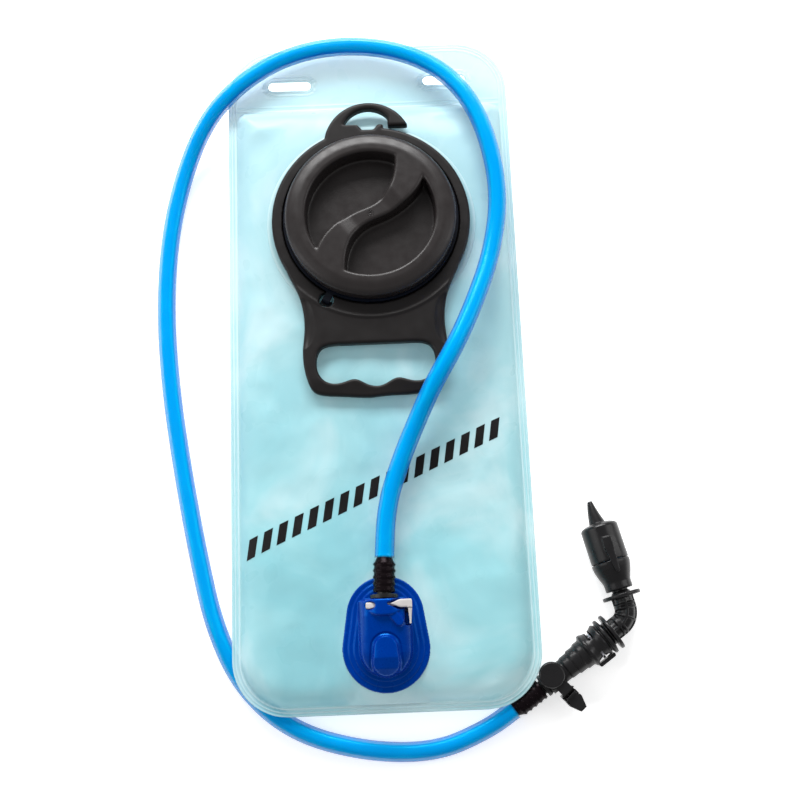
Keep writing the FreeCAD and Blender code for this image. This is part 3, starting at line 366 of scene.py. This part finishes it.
def camera():
    """Camera at the photo's viewing angle, from its own right and up directions."""
    data = bpy.data.cameras.new("camera")
    data.lens = 51.75
    data.sensor_width = 36
    data.clip_start = 0.01
    piece = bpy.data.objects.new("camera", data)
    place = Matrix.Translation((0.0141, -0.1788, 0.6788))
    right = Vector((0.99917, -0.03923, -0.01057))
    up = Vector((0.04060, 0.97374, 0.22403))
    piece.matrix_world = place @ Matrix((right, up, right.cross(up))).transposed().to_4x4()
    bpy.context.scene.collection.objects.link(piece)
    bpy.context.scene.camera = piece


def area_light(name, place, target, size, power):
    """White rectangular softbox that faces its target."""
    data = bpy.data.lights.new(name, "AREA")
    data.shape = "RECTANGLE"
    data.size, data.size_y = size
    data.energy = power
    piece = bpy.data.objects.new(name, data)
    piece.location = place
    piece.rotation_euler = (Vector(target) - Vector(place)).to_track_quat("-Z", "Y").to_euler()
    bpy.context.scene.collection.objects.link(piece)


def studio():
    """Pale world, three softboxes and a plain floor that glows a little, so that it stays white."""
    scene = bpy.context.scene
    scene.view_settings.view_transform = "Standard"
    scene.view_settings.exposure = 0.0
    scene.world = bpy.data.worlds.new("studio")
    scene.world.use_nodes = True
    background = scene.world.node_tree.nodes["Background"]
    background.inputs["Color"].default_value = (1, 1, 1, 1)
    background.inputs["Strength"].default_value = 0.38
    area_light("softbox_over", (-0.15, 1.28, 0.86), (0, 0.05, 0), (1.3, 0.5), 36)
    area_light("softbox_left", (-1.1, -0.1, 0.75), (0, 0, 0), (0.4, 1.1), 4)
    area_light("softbox_right", (1.1, 0.2, 0.8), (0, 0, 0), (0.3, 1.0), 3)
    build = Nodes("studio_floor")
    build.set(Base_Color=build.mix(build.noise(14, 2), (0.93, 0.93, 0.93), (0.95, 0.95, 0.95)))
    build.set(Roughness=0.9, Specular_IOR_Level=0.1)
    build.set(Emission_Color=(1, 1, 1, 1), Emission_Strength=0.55)
    reach = 4.0 / MM
    corners = [(-reach, -reach, 0), (reach, -reach, 0), (reach, reach, 0), (-reach, reach, 0)]
    floor = new_object("floor", corners, [(0, 1, 2, 3)], build.material, smooth=False)


camera()
studio()


# ------------------------------------------------------------------ hose

# Lengths of the hose's declaration and of its route are metres; the rest is millimetres.
HOSE_RADIUS, BORE_RADIUS = 5.5, 3.75
HOSE_SEGMENTS = 48
BARB_LENGTH = 19.6
RIB_START, RIB_PITCH, RIB_DEPTH = 2.2, 3.6, 0.16
SWELL, BORE_SWELL, BORE_RIB_GAIN = 1.05, 2.2, 2.8
HOSE_ROUTE = [
    (0, -0.1405, 0.035), (0.0008, -0.119, 0.0346), (0.0032, -0.091, 0.0334), (0.0115, -0.067, 0.0334),
    (0.022, -0.044, 0.0365), (0.0325, -0.024, 0.045), (0.046, -0.0025, 0.047), (0.0585, 0.024, 0.042),
    (0.071, 0.057, 0.034), (0.0776, 0.093, 0.032), (0.0735, 0.129, 0.033), (0.063, 0.160, 0.0305),
    (0.0445, 0.184, 0.0265), (0.016, 0.199, 0.0235), (-0.019, 0.203, 0.023), (-0.052, 0.196, 0.023),
    (-0.080, 0.1775, 0.0245), (-0.1015, 0.157, 0.0175), (-0.117, 0.126, 0.0074), (-0.126, 0.085, 0.0059),
    (-0.1282, 0.036, 0.006), (-0.1245, -0.014, 0.0059), (-0.117, -0.064, 0.006), (-0.108, -0.113, 0.0059),
    (-0.0985, -0.155, 0.006), (-0.082, -0.189, 0.0059), (-0.054, -0.2135, 0.006), (-0.014, -0.2255, 0.0059),
    (0.025, -0.2273, 0.006), (0.054, -0.2165, 0.0058),
]
COUPLING_START = Vector((0.071, -0.2056, 0.007))
COUPLING_AXIS = Vector(JOINTS["elbow_swivel"]["axis"])
HOSE_ROUTE += [
    tuple(COUPLING_START - Vector((0, 0, 0.0002))), tuple(COUPLING_START + COUPLING_AXIS * 0.020),
]


def route_points():
    """Points along the smooth spline that has the route's points as its controls."""
    data = bpy.data.curves.new("hose_route", "CURVE")
    data.dimensions = "3D"
    data.resolution_u = 24
    spline = data.splines.new("NURBS")
    spline.points.add(len(HOSE_ROUTE) - 1)
    for point, place in zip(spline.points, HOSE_ROUTE):
        point.co = (*place, 1)
    spline.order_u = 3
    spline.use_endpoint_u = True
    carrier = bpy.data.objects.new("hose_route", data)
    bpy.context.scene.collection.objects.link(carrier)
    bpy.context.view_layer.update()
    mesh = bpy.data.meshes.new_from_object(carrier)
    points = np.array([v.co[:] for v in mesh.vertices]) / MM
    bpy.data.objects.remove(carrier)
    return points


def tube_along(name, points, radii, material):
    """Open tube with its own radius at each point of the line, by parallel transport."""
    tangents = np.gradient(points, axis=0)
    tangents /= np.linalg.norm(tangents, axis=1)[:, None]
    side = np.cross(tangents[0], (0, 0, 1.0))
    side /= np.linalg.norm(side)
    angles = np.linspace(0, 2 * math.pi, HOSE_SEGMENTS, endpoint=False)
    rings = []
    for point, tangent, radius in zip(points, tangents, radii):
        side = side - tangent * side.dot(tangent)
        side /= np.linalg.norm(side)
        other = np.cross(tangent, side)
        rings.append(point + radius * (np.outer(np.cos(angles), side) + np.outer(np.sin(angles), other)))
    verts = np.concatenate(rings)
    upward = (verts - np.repeat(points, HOSE_SEGMENTS, axis=0))[:, 2] / np.repeat(radii, HOSE_SEGMENTS)
    piece = new_object(name, verts, grid_faces(len(points), HOSE_SEGMENTS, False, True), material)
    # Stores how far each place faces up; the hose materials paint highlights and shade from it.
    mark_points(piece, "painted_light_facing_up", 0.5 + 0.5 * upward)
    return piece


def resampled(points, count):
    """The same line with evenly spaced points, and the length along it at each."""
    steps = np.concatenate([[0], np.cumsum(np.linalg.norm(np.diff(points, axis=0), axis=1))])
    places = np.linspace(0, steps[-1], count)
    return np.stack([np.interp(places, steps, points[:, k]) for k in range(3)], axis=1), places


line, along = resampled(route_points(), 900)
to_end = along[-1] - along
held = [1 - smoothstep(past, BARB_LENGTH - 3.5, BARB_LENGTH + 2.5) for past in (along, to_end)]
swell = held[0] + held[1]
waves = [np.cos((past - RIB_START) * 2 * math.pi / RIB_PITCH) for past in (along, to_end)]
ribs = RIB_DEPTH * (waves[0] * held[0] + waves[1] * held[1])
ends = 0.25 * (np.exp(-along / 0.8) + np.exp(-to_end / 0.8))
over_barb = 1 - smoothstep(np.minimum(along, to_end), BARB_LENGTH + 0.9, BARB_LENGTH + 1.7)
within = (along > 0.3) & (to_end > 0.3)
core = BORE_RADIUS + (BORE_SWELL + BORE_RIB_GAIN * ribs) * swell - 1.2 * ends
hose = tube_along("drinking_tube", line, HOSE_RADIUS + SWELL * swell + ribs - ends, HOSE_OUTER)
bore = tube_along("drinking_tube_bore", line[within], core[within], HOSE_BORE)
mark_points(hose, "grip", np.repeat(over_barb, HOSE_SEGMENTS))
mark_points(bore, "grip", np.repeat(over_barb[within], HOSE_SEGMENTS))
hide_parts("drinking_hose")
for piece in (hose, bore):
    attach(piece, BODY["drinking_hose"])


# ------------------------------------------------------------------ bag

HALF_WIDTH, HALF_HEIGHT, CORNER = 87.5, 205.0, 32.0
SEAM_Z = 14.0
WATER_HALF, WATER_FOOT, WATER_HEAD = 82.5, -200.0, 163.0
SLOT_X, SLOT_Y = 48.8, 180.5
SLOT_LENGTH, SLOT_WIDTH = 27.0, 6.2
PORT = (0.0, -161.8)
PORT_RADII = (25.5, 32.5)
PORT_FILM_Z = 26.0
EDGE_BAND, EDGE_STEP = 7.7, 0.55
MOUTH_RADIUS = 43.0


def rounded_distance(x, y, half, low, high, low_corner, high_corner):
    """Signed distance inside a rounded rectangle, positive inside."""
    middle, reach = (low + high) / 2, (high - low) / 2
    corner = np.where(y < middle, low_corner, high_corner)
    across, along_y = np.abs(x) - (half - corner), np.abs(y - middle) - (reach - corner)
    outside = np.hypot(np.maximum(across, 0), np.maximum(along_y, 0))
    return corner - outside - np.minimum(np.maximum(across, along_y), 0)


def slot_distance(x, y, length, width):
    """Distance to a hang slot's outline of that size, either side, negative inside."""
    across = np.maximum(np.abs(np.abs(x) - SLOT_X) - (length - width) / 2, 0)
    return np.hypot(across, y - SLOT_Y) - width / 2


def field(x, y, scale, seed):
    """Smooth noise field over the bag, about -1 to 1."""
    flat_x, flat_y = np.ravel(x), np.ravel(y)
    values = [noise.noise((a / scale, b / scale, seed)) for a, b in zip(flat_x, flat_y)]
    return np.array(values).reshape(np.shape(x)) * 1.6


def film_shape(x, y):
    """Heights of the front and rear films, and how much each place is a weld line or flat film."""
    edge = rounded_distance(x, y, HALF_WIDTH, -HALF_HEIGHT, HALF_HEIGHT, CORNER, CORNER)
    water = rounded_distance(x, y, WATER_HALF, WATER_FOOT, WATER_HEAD, 29, 7)
    port = np.hypot((x - PORT[0]) / PORT_RADII[0], (y - PORT[1]) / PORT_RADII[1]) - 1
    past_neck = np.hypot(x - NECK[0], y - NECK[1]) - 63.0
    inside_water = np.maximum(water, 0)
    # The pillow, held up round the port
    front = SEAM_Z + 0.3 + 11.7 * (1 - np.exp(-inside_water / 6.5))
    rear = SEAM_Z - 0.3 - 13.4 * (1 - np.exp(-inside_water / 10.5))
    front = np.where(water > 0, np.maximum(front, PORT_FILM_Z - 22 * np.maximum(port, 0)), front)
    # Slack dents, away from neck, port and rim, and puckers beside the seam
    free = smoothstep(past_neck, 0, 22) * smoothstep(port, 0.0, 0.5) * smoothstep(water, 0, 16)
    dents = 1.5 * np.maximum(field(x, y, 62, 3.1), -0.3) + 0.8 * np.abs(field(x, y, 27, 7.7))
    dents += 0.45 * field(x, y, 13, 5.2)
    front -= free * np.maximum(dents + 0.5, 0)
    rear += smoothstep(water, 0, 20) * np.abs(field(x, y, 40, 11.3))
    puckers = field(x, y, 7.0, 2.2) * np.exp(-((water - 5) / 5.0) ** 2)
    front += 0.35 * puckers * free
    warp = 0.7 * field(x, y, 70, 9.4) * smoothstep(-water, 0, 12)
    # Weld lines: round the rim, across under the header and round the hang slots
    lines = 0.6 * ridge(edge - 0.4, 1.4) + 0.9 * ridge(edge - 2.3, 0.9) + ridge(edge - 4.3, 1.1)
    over = smoothstep(edge, 4.0, 5.5)
    lines += over * (0.9 * ridge(y - 163.6, 1.1) + 0.7 * ridge(y - 166.6, 0.9))
    rim = slot_distance(x, y, SLOT_LENGTH, SLOT_WIDTH)
    lines += over * (0.9 * ridge(slot_distance(x, y, 32.5, 12.5), 1.1) + 0.8 * ridge(rim - 0.7, 1.3))
    lines = np.clip(lines, 0, 1)
    flat = np.clip(smoothstep(-water, -1.5, 0.5), 0, 1)
    return front + warp + 0.28 * lines, rear + warp - 0.18 * lines, lines, flat


def spaced(fine_bands, low, high, coarse):
    """Sorted places from low to high, close together inside the bands."""
    places = [low]
    while places[-1] < high - 1e-6:
        here = places[-1]
        near = any(a - 1e-6 <= here < b for a, b in fine_bands)
        step = EDGE_STEP if near else coarse
        for a, _ in fine_bands:
            if here < a < here + step:
                step = a - here
        places.append(min(high, here + step))
    return np.array(places)


def bag():
    """Closed pillow: front and rear film joined at the rim, with slots and the mouth cut out."""
    inset = np.arange(0, EDGE_BAND + 0.01, EDGE_STEP)
    upward = spaced([(-HALF_HEIGHT, -198), (161.5, HALF_HEIGHT)], -HALF_HEIGHT, HALF_HEIGHT, 1.6)
    past = np.maximum(np.abs(upward) - (HALF_HEIGHT - CORNER), 0)
    half = HALF_WIDTH - CORNER + np.sqrt(np.maximum(CORNER ** 2 - past ** 2, 0))
    inner = np.linspace(-1, 1, 104)[1:-1]
    x = np.stack([np.concatenate([inset - reach, inner * (reach - EDGE_BAND), reach - inset[::-1]])
                  for reach in half])
    grid_y = np.repeat(upward[:, None], x.shape[1], 1)
    front, rear, lines, flat = film_shape(x, grid_y)
    rows, columns = x.shape
    rim = np.zeros_like(x, bool)
    rim[0, :] = rim[-1, :] = rim[:, 0] = rim[:, -1] = True
    middle = (front + rear) / 2
    front = np.where(rim, middle + 0.25, front)
    rear = np.where(rim, middle - 0.25, rear)
    top = np.stack([x, grid_y, front], -1).reshape(-1, 3)
    bottom = np.stack([x, grid_y, rear], -1).reshape(-1, 3)
    faces = grid_faces(rows, columns)
    count = rows * columns
    loop = list(range(columns)) + [row * columns + columns - 1 for row in range(1, rows)]
    loop += [(rows - 1) * columns + column for column in range(columns - 2, -1, -1)]
    loop += [row * columns for row in range(rows - 2, 0, -1)]
    walls = [(here, last, last + count, here + count) for last, here in zip(loop[-1:] + loop[:-1], loop)]
    under = [(a + count, d + count, c + count, b + count) for a, b, c, d in faces]
    piece = new_object("bag_film", np.concatenate([top, bottom]), faces + under + walls, FRONT_FILM)
    for name, values in (("weld", lines), ("flat", flat)):
        mark_points(piece, name, np.concatenate([values.ravel(), values.ravel()]))
    for side in (-1, 1):
        cut_slot(piece, side * SLOT_X)
    cut_mouth(piece)
    return piece


def cut_slot(piece, x):
    """Cuts a hang slot through both films."""
    turns = np.linspace(-math.pi / 2, math.pi / 2, 15)
    reach, radius = (SLOT_LENGTH - SLOT_WIDTH) / 2, SLOT_WIDTH / 2
    right = [(x + reach + radius * math.cos(a), SLOT_Y + radius * math.sin(a)) for a in turns]
    left = [(x - reach - radius * math.cos(a), SLOT_Y - radius * math.sin(a)) for a in turns]
    outline = right + left
    count = len(outline)
    below, above = SEAM_Z - 9, SEAM_Z + 11
    verts = [(a, b, below) for a, b in outline] + [(a, b, above) for a, b in outline]
    faces = [tuple(range(count))[::-1], tuple(range(count, 2 * count))]
    faces += [(k, (k + 1) % count, (k + 1) % count + count, k + count) for k in range(count)]
    cutter = new_object("slot_cutter", verts, faces, FRONT_FILM)
    cut = piece.modifiers.new("slot", "BOOLEAN")
    cut.operation = "DIFFERENCE"
    cut.object = cutter
    cut.solver = "EXACT"
    apply_modifiers(piece)
    bpy.data.objects.remove(cutter)


def cut_mouth(piece):
    """Opens the front film under the neck and rounds the hole's edge."""
    radius, between_films = MOUTH_RADIUS * MM, 18 * MM
    build = bmesh.new()
    build.from_mesh(piece.data)
    centre = Vector((NECK[0] * MM, NECK[1] * MM, 0))
    gone = []
    for face in build.faces:
        middle = face.calc_center_median()
        if middle.z > between_films and (Vector((middle.x, middle.y, 0)) - centre).length < radius:
            gone.append(face)
    bmesh.ops.delete(build, geom=gone, context="FACES")
    for edge in build.edges:
        if edge.is_boundary:
            for vert in edge.verts:
                out = Vector((vert.co.x, vert.co.y, 0)) - centre
                on_circle = centre + out.normalized() * radius
                vert.co.x, vert.co.y = on_circle.x, on_circle.y
    build.to_mesh(piece.data)
    build.free()


bag_film = bag()
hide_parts("bag_front_film", "bag_rear_film")
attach(bag_film, BODY["bag_front_film"])


# ------------------------------------------------------------------ rigid pieces

def shape_thread(points):
    """Low two-start thread round the outside of the neck."""
    x, y, radius = round_neck(points)
    z = points[:, 2]
    starts, pitch, height = 2, 4.0, 0.42
    turn = np.mod((z - pitch * np.arctan2(y, x) * starts / (2 * math.pi)) / pitch, 1)
    outer = smoothstep(radius, 45.2, 45.45) * smoothstep(z, 29.5, 31) * smoothstep(-z, -38, -36.8)
    lift = height * ridge(turn - 0.5, 0.3) * outer / radius
    return np.stack([x * lift, y * lift, 0 * z], axis=1)


def neck():
    """Weld flange and threaded neck."""
    flange = [(42.5, 26.0), (63.0, 26.0), (62.6, 26.35), (60.5, 26.75), (57.0, 27.0), (46.4, 27.15)]
    wall = [(45.5, height) for height in np.linspace(27.8, 38.6, 28)]
    mouth = [(45.0, 39.45), (43.1, 39.45), (42.5, 38.9)]
    piece = lathe("threaded_neck", flange + wall + mouth, NECK_FILM, 144)
    displaced(piece, shape_thread)
    radius = round_neck(points_of(piece))[2]
    mark_points(piece, "weld", smoothstep(radius, 60.5, 62.8) * 0.8)
    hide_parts("fill_neck")
    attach(piece, BODY["fill_neck"])


def shape_cap(points):
    """The rim falls away outwards, and the grip dips between its two flared ends."""
    x, y, radius = round_neck(points)
    rim_fall, grip_dip = 1.8, 2.3
    along_grip = np.abs(0.78 * x + 0.62 * y)
    upper = smoothstep(points[:, 2], 36, 43)
    drop = rim_fall * smoothstep(radius, 42.5, 51) * upper
    drop += grip_dip * (1 - smoothstep(along_grip, 9.5, 20)) * (1 - smoothstep(radius, 33, 38)) * upper
    return np.stack([0 * x, 0 * x, -drop], axis=1)


def shape_handle(points):
    """Finger dishes beside the neck of the handle, a ridge under the cap and a sloping grip bar."""
    x, y, z = points.T
    dish_depth, bar_fall, ridge_height = 2.6, 1.6, 0.55
    dish = np.minimum(np.hypot((np.abs(x) - 42.5) / 7.5, (y - 18) / 15.5), 1)
    rise = -dish_depth * (1 - dish ** 2) ** 0.75
    rise -= bar_fall * smoothstep(-y, 15, 27)
    rise += ridge_height * ridge(round_neck(points)[2] - 61.2, 2.6) * smoothstep(-y, -46, -36)
    return np.stack([0 * x, 0 * x, rise * smoothstep(z, 28.2, 32)], axis=1)


def egg_distance(x, y, egg):
    """Signed distance from the outline round two circles on the centreline, negative inside."""
    foot_radius, foot_y, head_radius, head_y = egg
    span = head_y - foot_y
    sine = (foot_radius - head_radius) / span
    cosine = math.sqrt(1 - sine * sine)
    px, py = np.abs(x), y - foot_y
    along_side = -sine * px + cosine * py
    side = cosine * px + sine * py - foot_radius
    side = np.where(along_side < 0, np.hypot(px, py) - foot_radius, side)
    return np.where(along_side > cosine * span, np.hypot(px, py - span) - head_radius, side)


def shoulder(inset, width, power=2.0):
    """0 at an edge, rising steeply and then rounding over to 1 at width inside it."""
    return 1 - (1 - np.clip(inset / width, 0, 1)) ** power


# Outlines round two circles: foot radius, foot y, head radius, head y
FLANGE = (24.3, -169.4, 21.6, -151.6)
HOUSING = (14.8, -170.7, 14.8, -141.1)
BUMP = (8.0, -177.4, 7.2, -169.4)
# Heights along the centreline: places and heights
HOUSING_CREST = (-186.0, -180.0, -172.0, -163.0, -152.0, -144.0), (33.2, 35.6, 37.8, 39.4, 41.0, 41.0)
BUMP_CREST = (-187.0, -184.6, -180.5, -174.6, -162.0), (31.0, 35.6, 39.2, 41.2, 41.2)
EAR_START, EAR_REACH, EAR_RADIUS, EAR_TOP = (5.0, -152.0), (3.0, -3.6), 3.4, 42.2
HOUSING_END_Y = -143.9
SOCKET_HALF, SOCKET_END_Y, SOCKET_FOOT_Z = 11.4, -142.6, 34.4
WINDOW_FLOOR_Z, RECESS_FLOOR_Z, PORT_UNDER_Z = 38.0, 29.4, 25.85


def port_height(x, y):
    """Top surface of the port, and the signed distance from its outline."""
    outline = egg_distance(x, y, FLANGE)
    # Flange in three steps
    ground = 25.9 + 0.1 * smoothstep(-outline, -0.2, 0) + 0.9 * shoulder(-outline, 0.6)
    ground += 0.85 * shoulder(-outline - 3.0, 0.8) + 0.85 * shoulder(-outline - 6.0, 0.8)
    # Leaning housing, with a groove round the bump
    body = egg_distance(x, y, HOUSING)
    bump = egg_distance(x, y, BUMP)
    rise = 0.62 * shoulder(-body, 1.6) + 0.38 * shoulder(-body - 0.6, 5.5, 1.8)
    housing = ground + (np.interp(y, *HOUSING_CREST) - ground) * rise - 0.7 * ridge(bump - 0.7, 1.5)
    z = np.where((body < 0) & (y < HOUSING_END_Y), np.maximum(housing, ground), ground)
    # Domed bump
    dome = np.interp(y, *BUMP_CREST) - 1.6 * (np.abs(x) / 8) ** 2.2
    z = np.where(bump < 0, np.maximum(z, ground + (dome - ground) * shoulder(-bump, 1.3, 3)), z)
    # Ear beside the clip's tab: a rounded bar between two points
    (ear_x, ear_y), (reach_x, reach_y) = EAR_START, EAR_REACH
    share = ((x - ear_x) * reach_x + (y - ear_y) * reach_y) / (reach_x ** 2 + reach_y ** 2)
    share = np.clip(share, 0, 1)
    ear = np.hypot(x - ear_x - reach_x * share, y - ear_y - reach_y * share) - EAR_RADIUS
    z = np.where(ear < 0, np.maximum(z, ground + (EAR_TOP - ground) * shoulder(-ear, 1.4, 3)), z)
    # Round socket with its two windows, as pits
    back = -152.3 + 3.8 * (np.abs(x) / SOCKET_HALF) ** 2.6
    across = np.clip((np.abs(x) - 2.4) / 9.0, 0, 1)
    socket = SOCKET_FOOT_Z + 9.0 * np.sqrt(1 - across ** 2) - 0.35 * ridge(y + 143.2, 1.5)
    inside = (y > back) & (y < SOCKET_END_Y) & (np.abs(x) < SOCKET_HALF)
    z = np.where(inside, np.maximum(z, socket - 1.1 * (1 - shoulder(y - back, 1.2, 3))), z)
    left_window = np.hypot((x + 7.75) / 2.6, (y + 146.6) / 1.9)
    right_window = np.maximum(np.abs(y + 145.9) / (0.5 + 2.3 * smoothstep(x, 2.0, 8.0)), 3.0 - x)
    in_window = inside & ((left_window < 1) | (right_window < 1))
    z = np.where(in_window, np.minimum(z, WINDOW_FLOOR_Z), z)
    # Recess behind the clip's tab
    recess = (x > 11.6) & (y > -157.6) & (y < HOUSING_END_Y) & (outline < -3)
    return np.where(recess, np.minimum(z, RECESS_FLOOR_Z), z), outline


def port_shell():
    """The port's housing and weld flange, as one closed moulding."""
    columns, rows = 180, 236
    x, y = np.meshgrid(np.linspace(-24.6, 24.6, columns), np.linspace(-194.1, -129.7, rows))
    z, outline = port_height(x, y)
    keep = (outline < 0.35).ravel()
    top = np.stack([x, y, z], axis=-1).reshape(-1, 3)
    under = np.stack([x, y, np.full_like(x, PORT_UNDER_Z)], axis=-1).reshape(-1, 3)
    count = len(top)
    quads = [face for face in grid_faces(rows, columns) if all(keep[k] for k in face)]
    edges = [edge for face in quads for edge in zip(face, face[1:] + face[:1])]
    paired = set(edges)
    rim = [(b, a, a + count, b + count) for a, b in edges if (b, a) not in paired]
    faces = quads + [tuple(k + count for k in face[::-1]) for face in quads] + rim
    piece = new_object("port_shell", np.concatenate([top, under]), faces, BLUE)
    build = bmesh.new()
    build.from_mesh(piece.data)
    bmesh.ops.delete(build, geom=[vert for vert in build.verts if not vert.link_faces], context="VERTS")
    bmesh.ops.recalc_face_normals(build, faces=build.faces)
    build.to_mesh(piece.data)
    build.free()
    rounding = piece.modifiers.new("rounding", "SMOOTH")
    rounding.factor = 0.5
    rounding.iterations = 5
    apply_modifiers(piece)
    piece.data.shade_smooth()
    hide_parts("port_base")
    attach(piece, BODY["port_base"])


def shape_clip(points):
    """The plate swells in its two windows, comes to a point inwards, and the thumb tab tapers."""
    x, y, z = points.T
    plate_y = -146.3
    upper = smoothstep(z, 40.6, 41.4)
    wedge = upper * (x > 2) * (y > -147.4)
    oval = upper * (x < -3)
    wide = 0.5 + 2.1 * smoothstep(x, 3.6, 9.5)
    swell = np.sqrt(np.clip(1 - ((x + 7.6) / 2.9) ** 2, 0.02, 1))
    shift_y = wedge * ((y - plate_y) * (wide - 1) + 0.4) + oval * ((y - plate_y) * (2.0 * swell - 1) - 0.3)
    tab = smoothstep(-y, 145, 157)
    shift_x = -1.3 * smoothstep(x, 11, 13.5) - (x - 15.3) * 0.6 * tab * (x > 13)
    shift_x -= 1.2 * oval * smoothstep(-x, 5, 8.5)
    fall = -1.0 * oval - 1.2 * tab * smoothstep(z, 38, 42)
    return np.stack([shift_x, shift_y, fall], axis=1)


neck()
cap = soften("screw_cap", CHARCOAL_CAP, 0.55, 6)
displaced(cap, shape_cap)
gate_mark = lathe("gate_mark", [
    (0, 41.2), (0.5, 41.3), (0.75, 41.85), (1.05, 41.95), (1.3, 41.45), (1.6, 41.6), (1.9, 41.95),
    (2.2, 41.6), (2.3, 40.6), (0, 40.6),
], CHARCOAL_CAP, 40)
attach(gate_mark, BODY["screw_cap"])
handle = soften("handle_collar", CHARCOAL, 0.55, 7)
displaced(handle, shape_handle)
port_shell()
clip = soften("release_clip", GREY, 0.22, 4)
displaced(clip, shape_clip)
# Hose end and garment clip: material and voxel size
FAR_END = {
    "hose_coupling": (BLACK, 0.35), "coupling_button": (BLACK, 0.25), "elbow": (BLACK, 0.3),
    "valve_body": (BLACK, 0.35), "dust_cover": (BLACK, 0.35), "clip_collar": (BLACK, 0.3),
    "clip_stud": (BLACK, 0.3), "clip_lower_jaw": (BLACK, 0.25), "clip_upper_jaw": (BLACK, 0.22),
    "bite_valve": (BITE, 0.3),
}
far_pieces = [soften(node, material, voxel, 4) for node, (material, voxel) in FAR_END.items()]


def own_copy(node, name, material):
    """Separate piece with a CAD node's shape, on a mesh of its own."""
    mesh = frame["nodes"][node].data.copy()
    mesh.materials.clear()
    mesh.materials.append(material)
    piece = bpy.data.objects.new(name, mesh)
    bpy.context.scene.collection.objects.link(piece)
    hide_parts(node)
    return piece


def strap():
    """The cap's strap, a band between its hole in the collar and the ring that the cap lifts, kept in its
    CAD shape with its placement baked into its mesh.
    """
    piece = own_copy("tether_strap", "strap_band", TETHER_DARK)
    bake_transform(piece)


def pressed_spring(node, joint, preload=1.0):
    """Coil with preload times its CAD length at rest, which its joint presses towards its fixed end."""
    piece = own_copy(node, "coil_" + node, STEEL)
    axis = np.array(JOINTS[joint]["axis"])
    points = points_of(piece)
    along_axis = points @ axis
    far = along_axis.max()
    displaced(piece, lambda _: np.outer((far - along_axis) * (1 - preload), axis))
    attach(piece, BODY[node])
    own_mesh(piece)
    return piece


def print_bars():
    """Generic printed band across the film: one narrow slanted stripe, repeated evenly."""
    direction = Vector((148, 66)).normalized()
    stripes, band_length, stripe_width, stripe_height = 17, 155, 5.6, 12
    slant, above_film = 0.16, 0.16
    start_x, start_y = -78, -118
    rows, steps = 7, 5
    verts, faces = [], []
    for start in np.linspace(0, band_length, stripes):
        base = len(verts)
        for row in np.linspace(0, stripe_height, rows):
            for step in np.linspace(0, stripe_width, steps):
                across = direction * (start + step)
                verts.append((start_x + across.x + slant * row, start_y + across.y + row))
        faces += [tuple(base + k for k in face) for face in grid_faces(rows, steps)]
    flat = np.array(verts)
    front = film_shape(flat[:, 0], flat[:, 1])[0]
    piece = new_object("print_bars", np.column_stack([flat, front + above_film]), faces, PRINT)
    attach(piece, BODY["bag_front_film"])


strap()
pressed_spring("poppet_spring", "poppet_travel")
pressed_spring("release_spring", "release_press", 0.75)
button_coil = pressed_spring("button_spring", "button_press", 0.85)
print_bars()

# CAD nodes shown as they are
CARRIED = {
    "cap_gasket": SEAL, "tether_ring": TETHER_DARK, "port_poppet": BLUE, "poppet_seal": SEAL,
    "port_plug": BLACK, "plug_o_ring": SEAL, "latch_plate": STEEL, "elbow_o_ring": SEAL,
    "valve_o_ring": SEAL, "jaw_pin": STEEL, "jaw_spring": STEEL,
}
for node, material in CARRIED.items():
    mesh = frame["nodes"][node].data
    if not mesh.materials:
        mesh.materials.append(material)
    for index in range(len(mesh.materials)):
        mesh.materials[index] = material
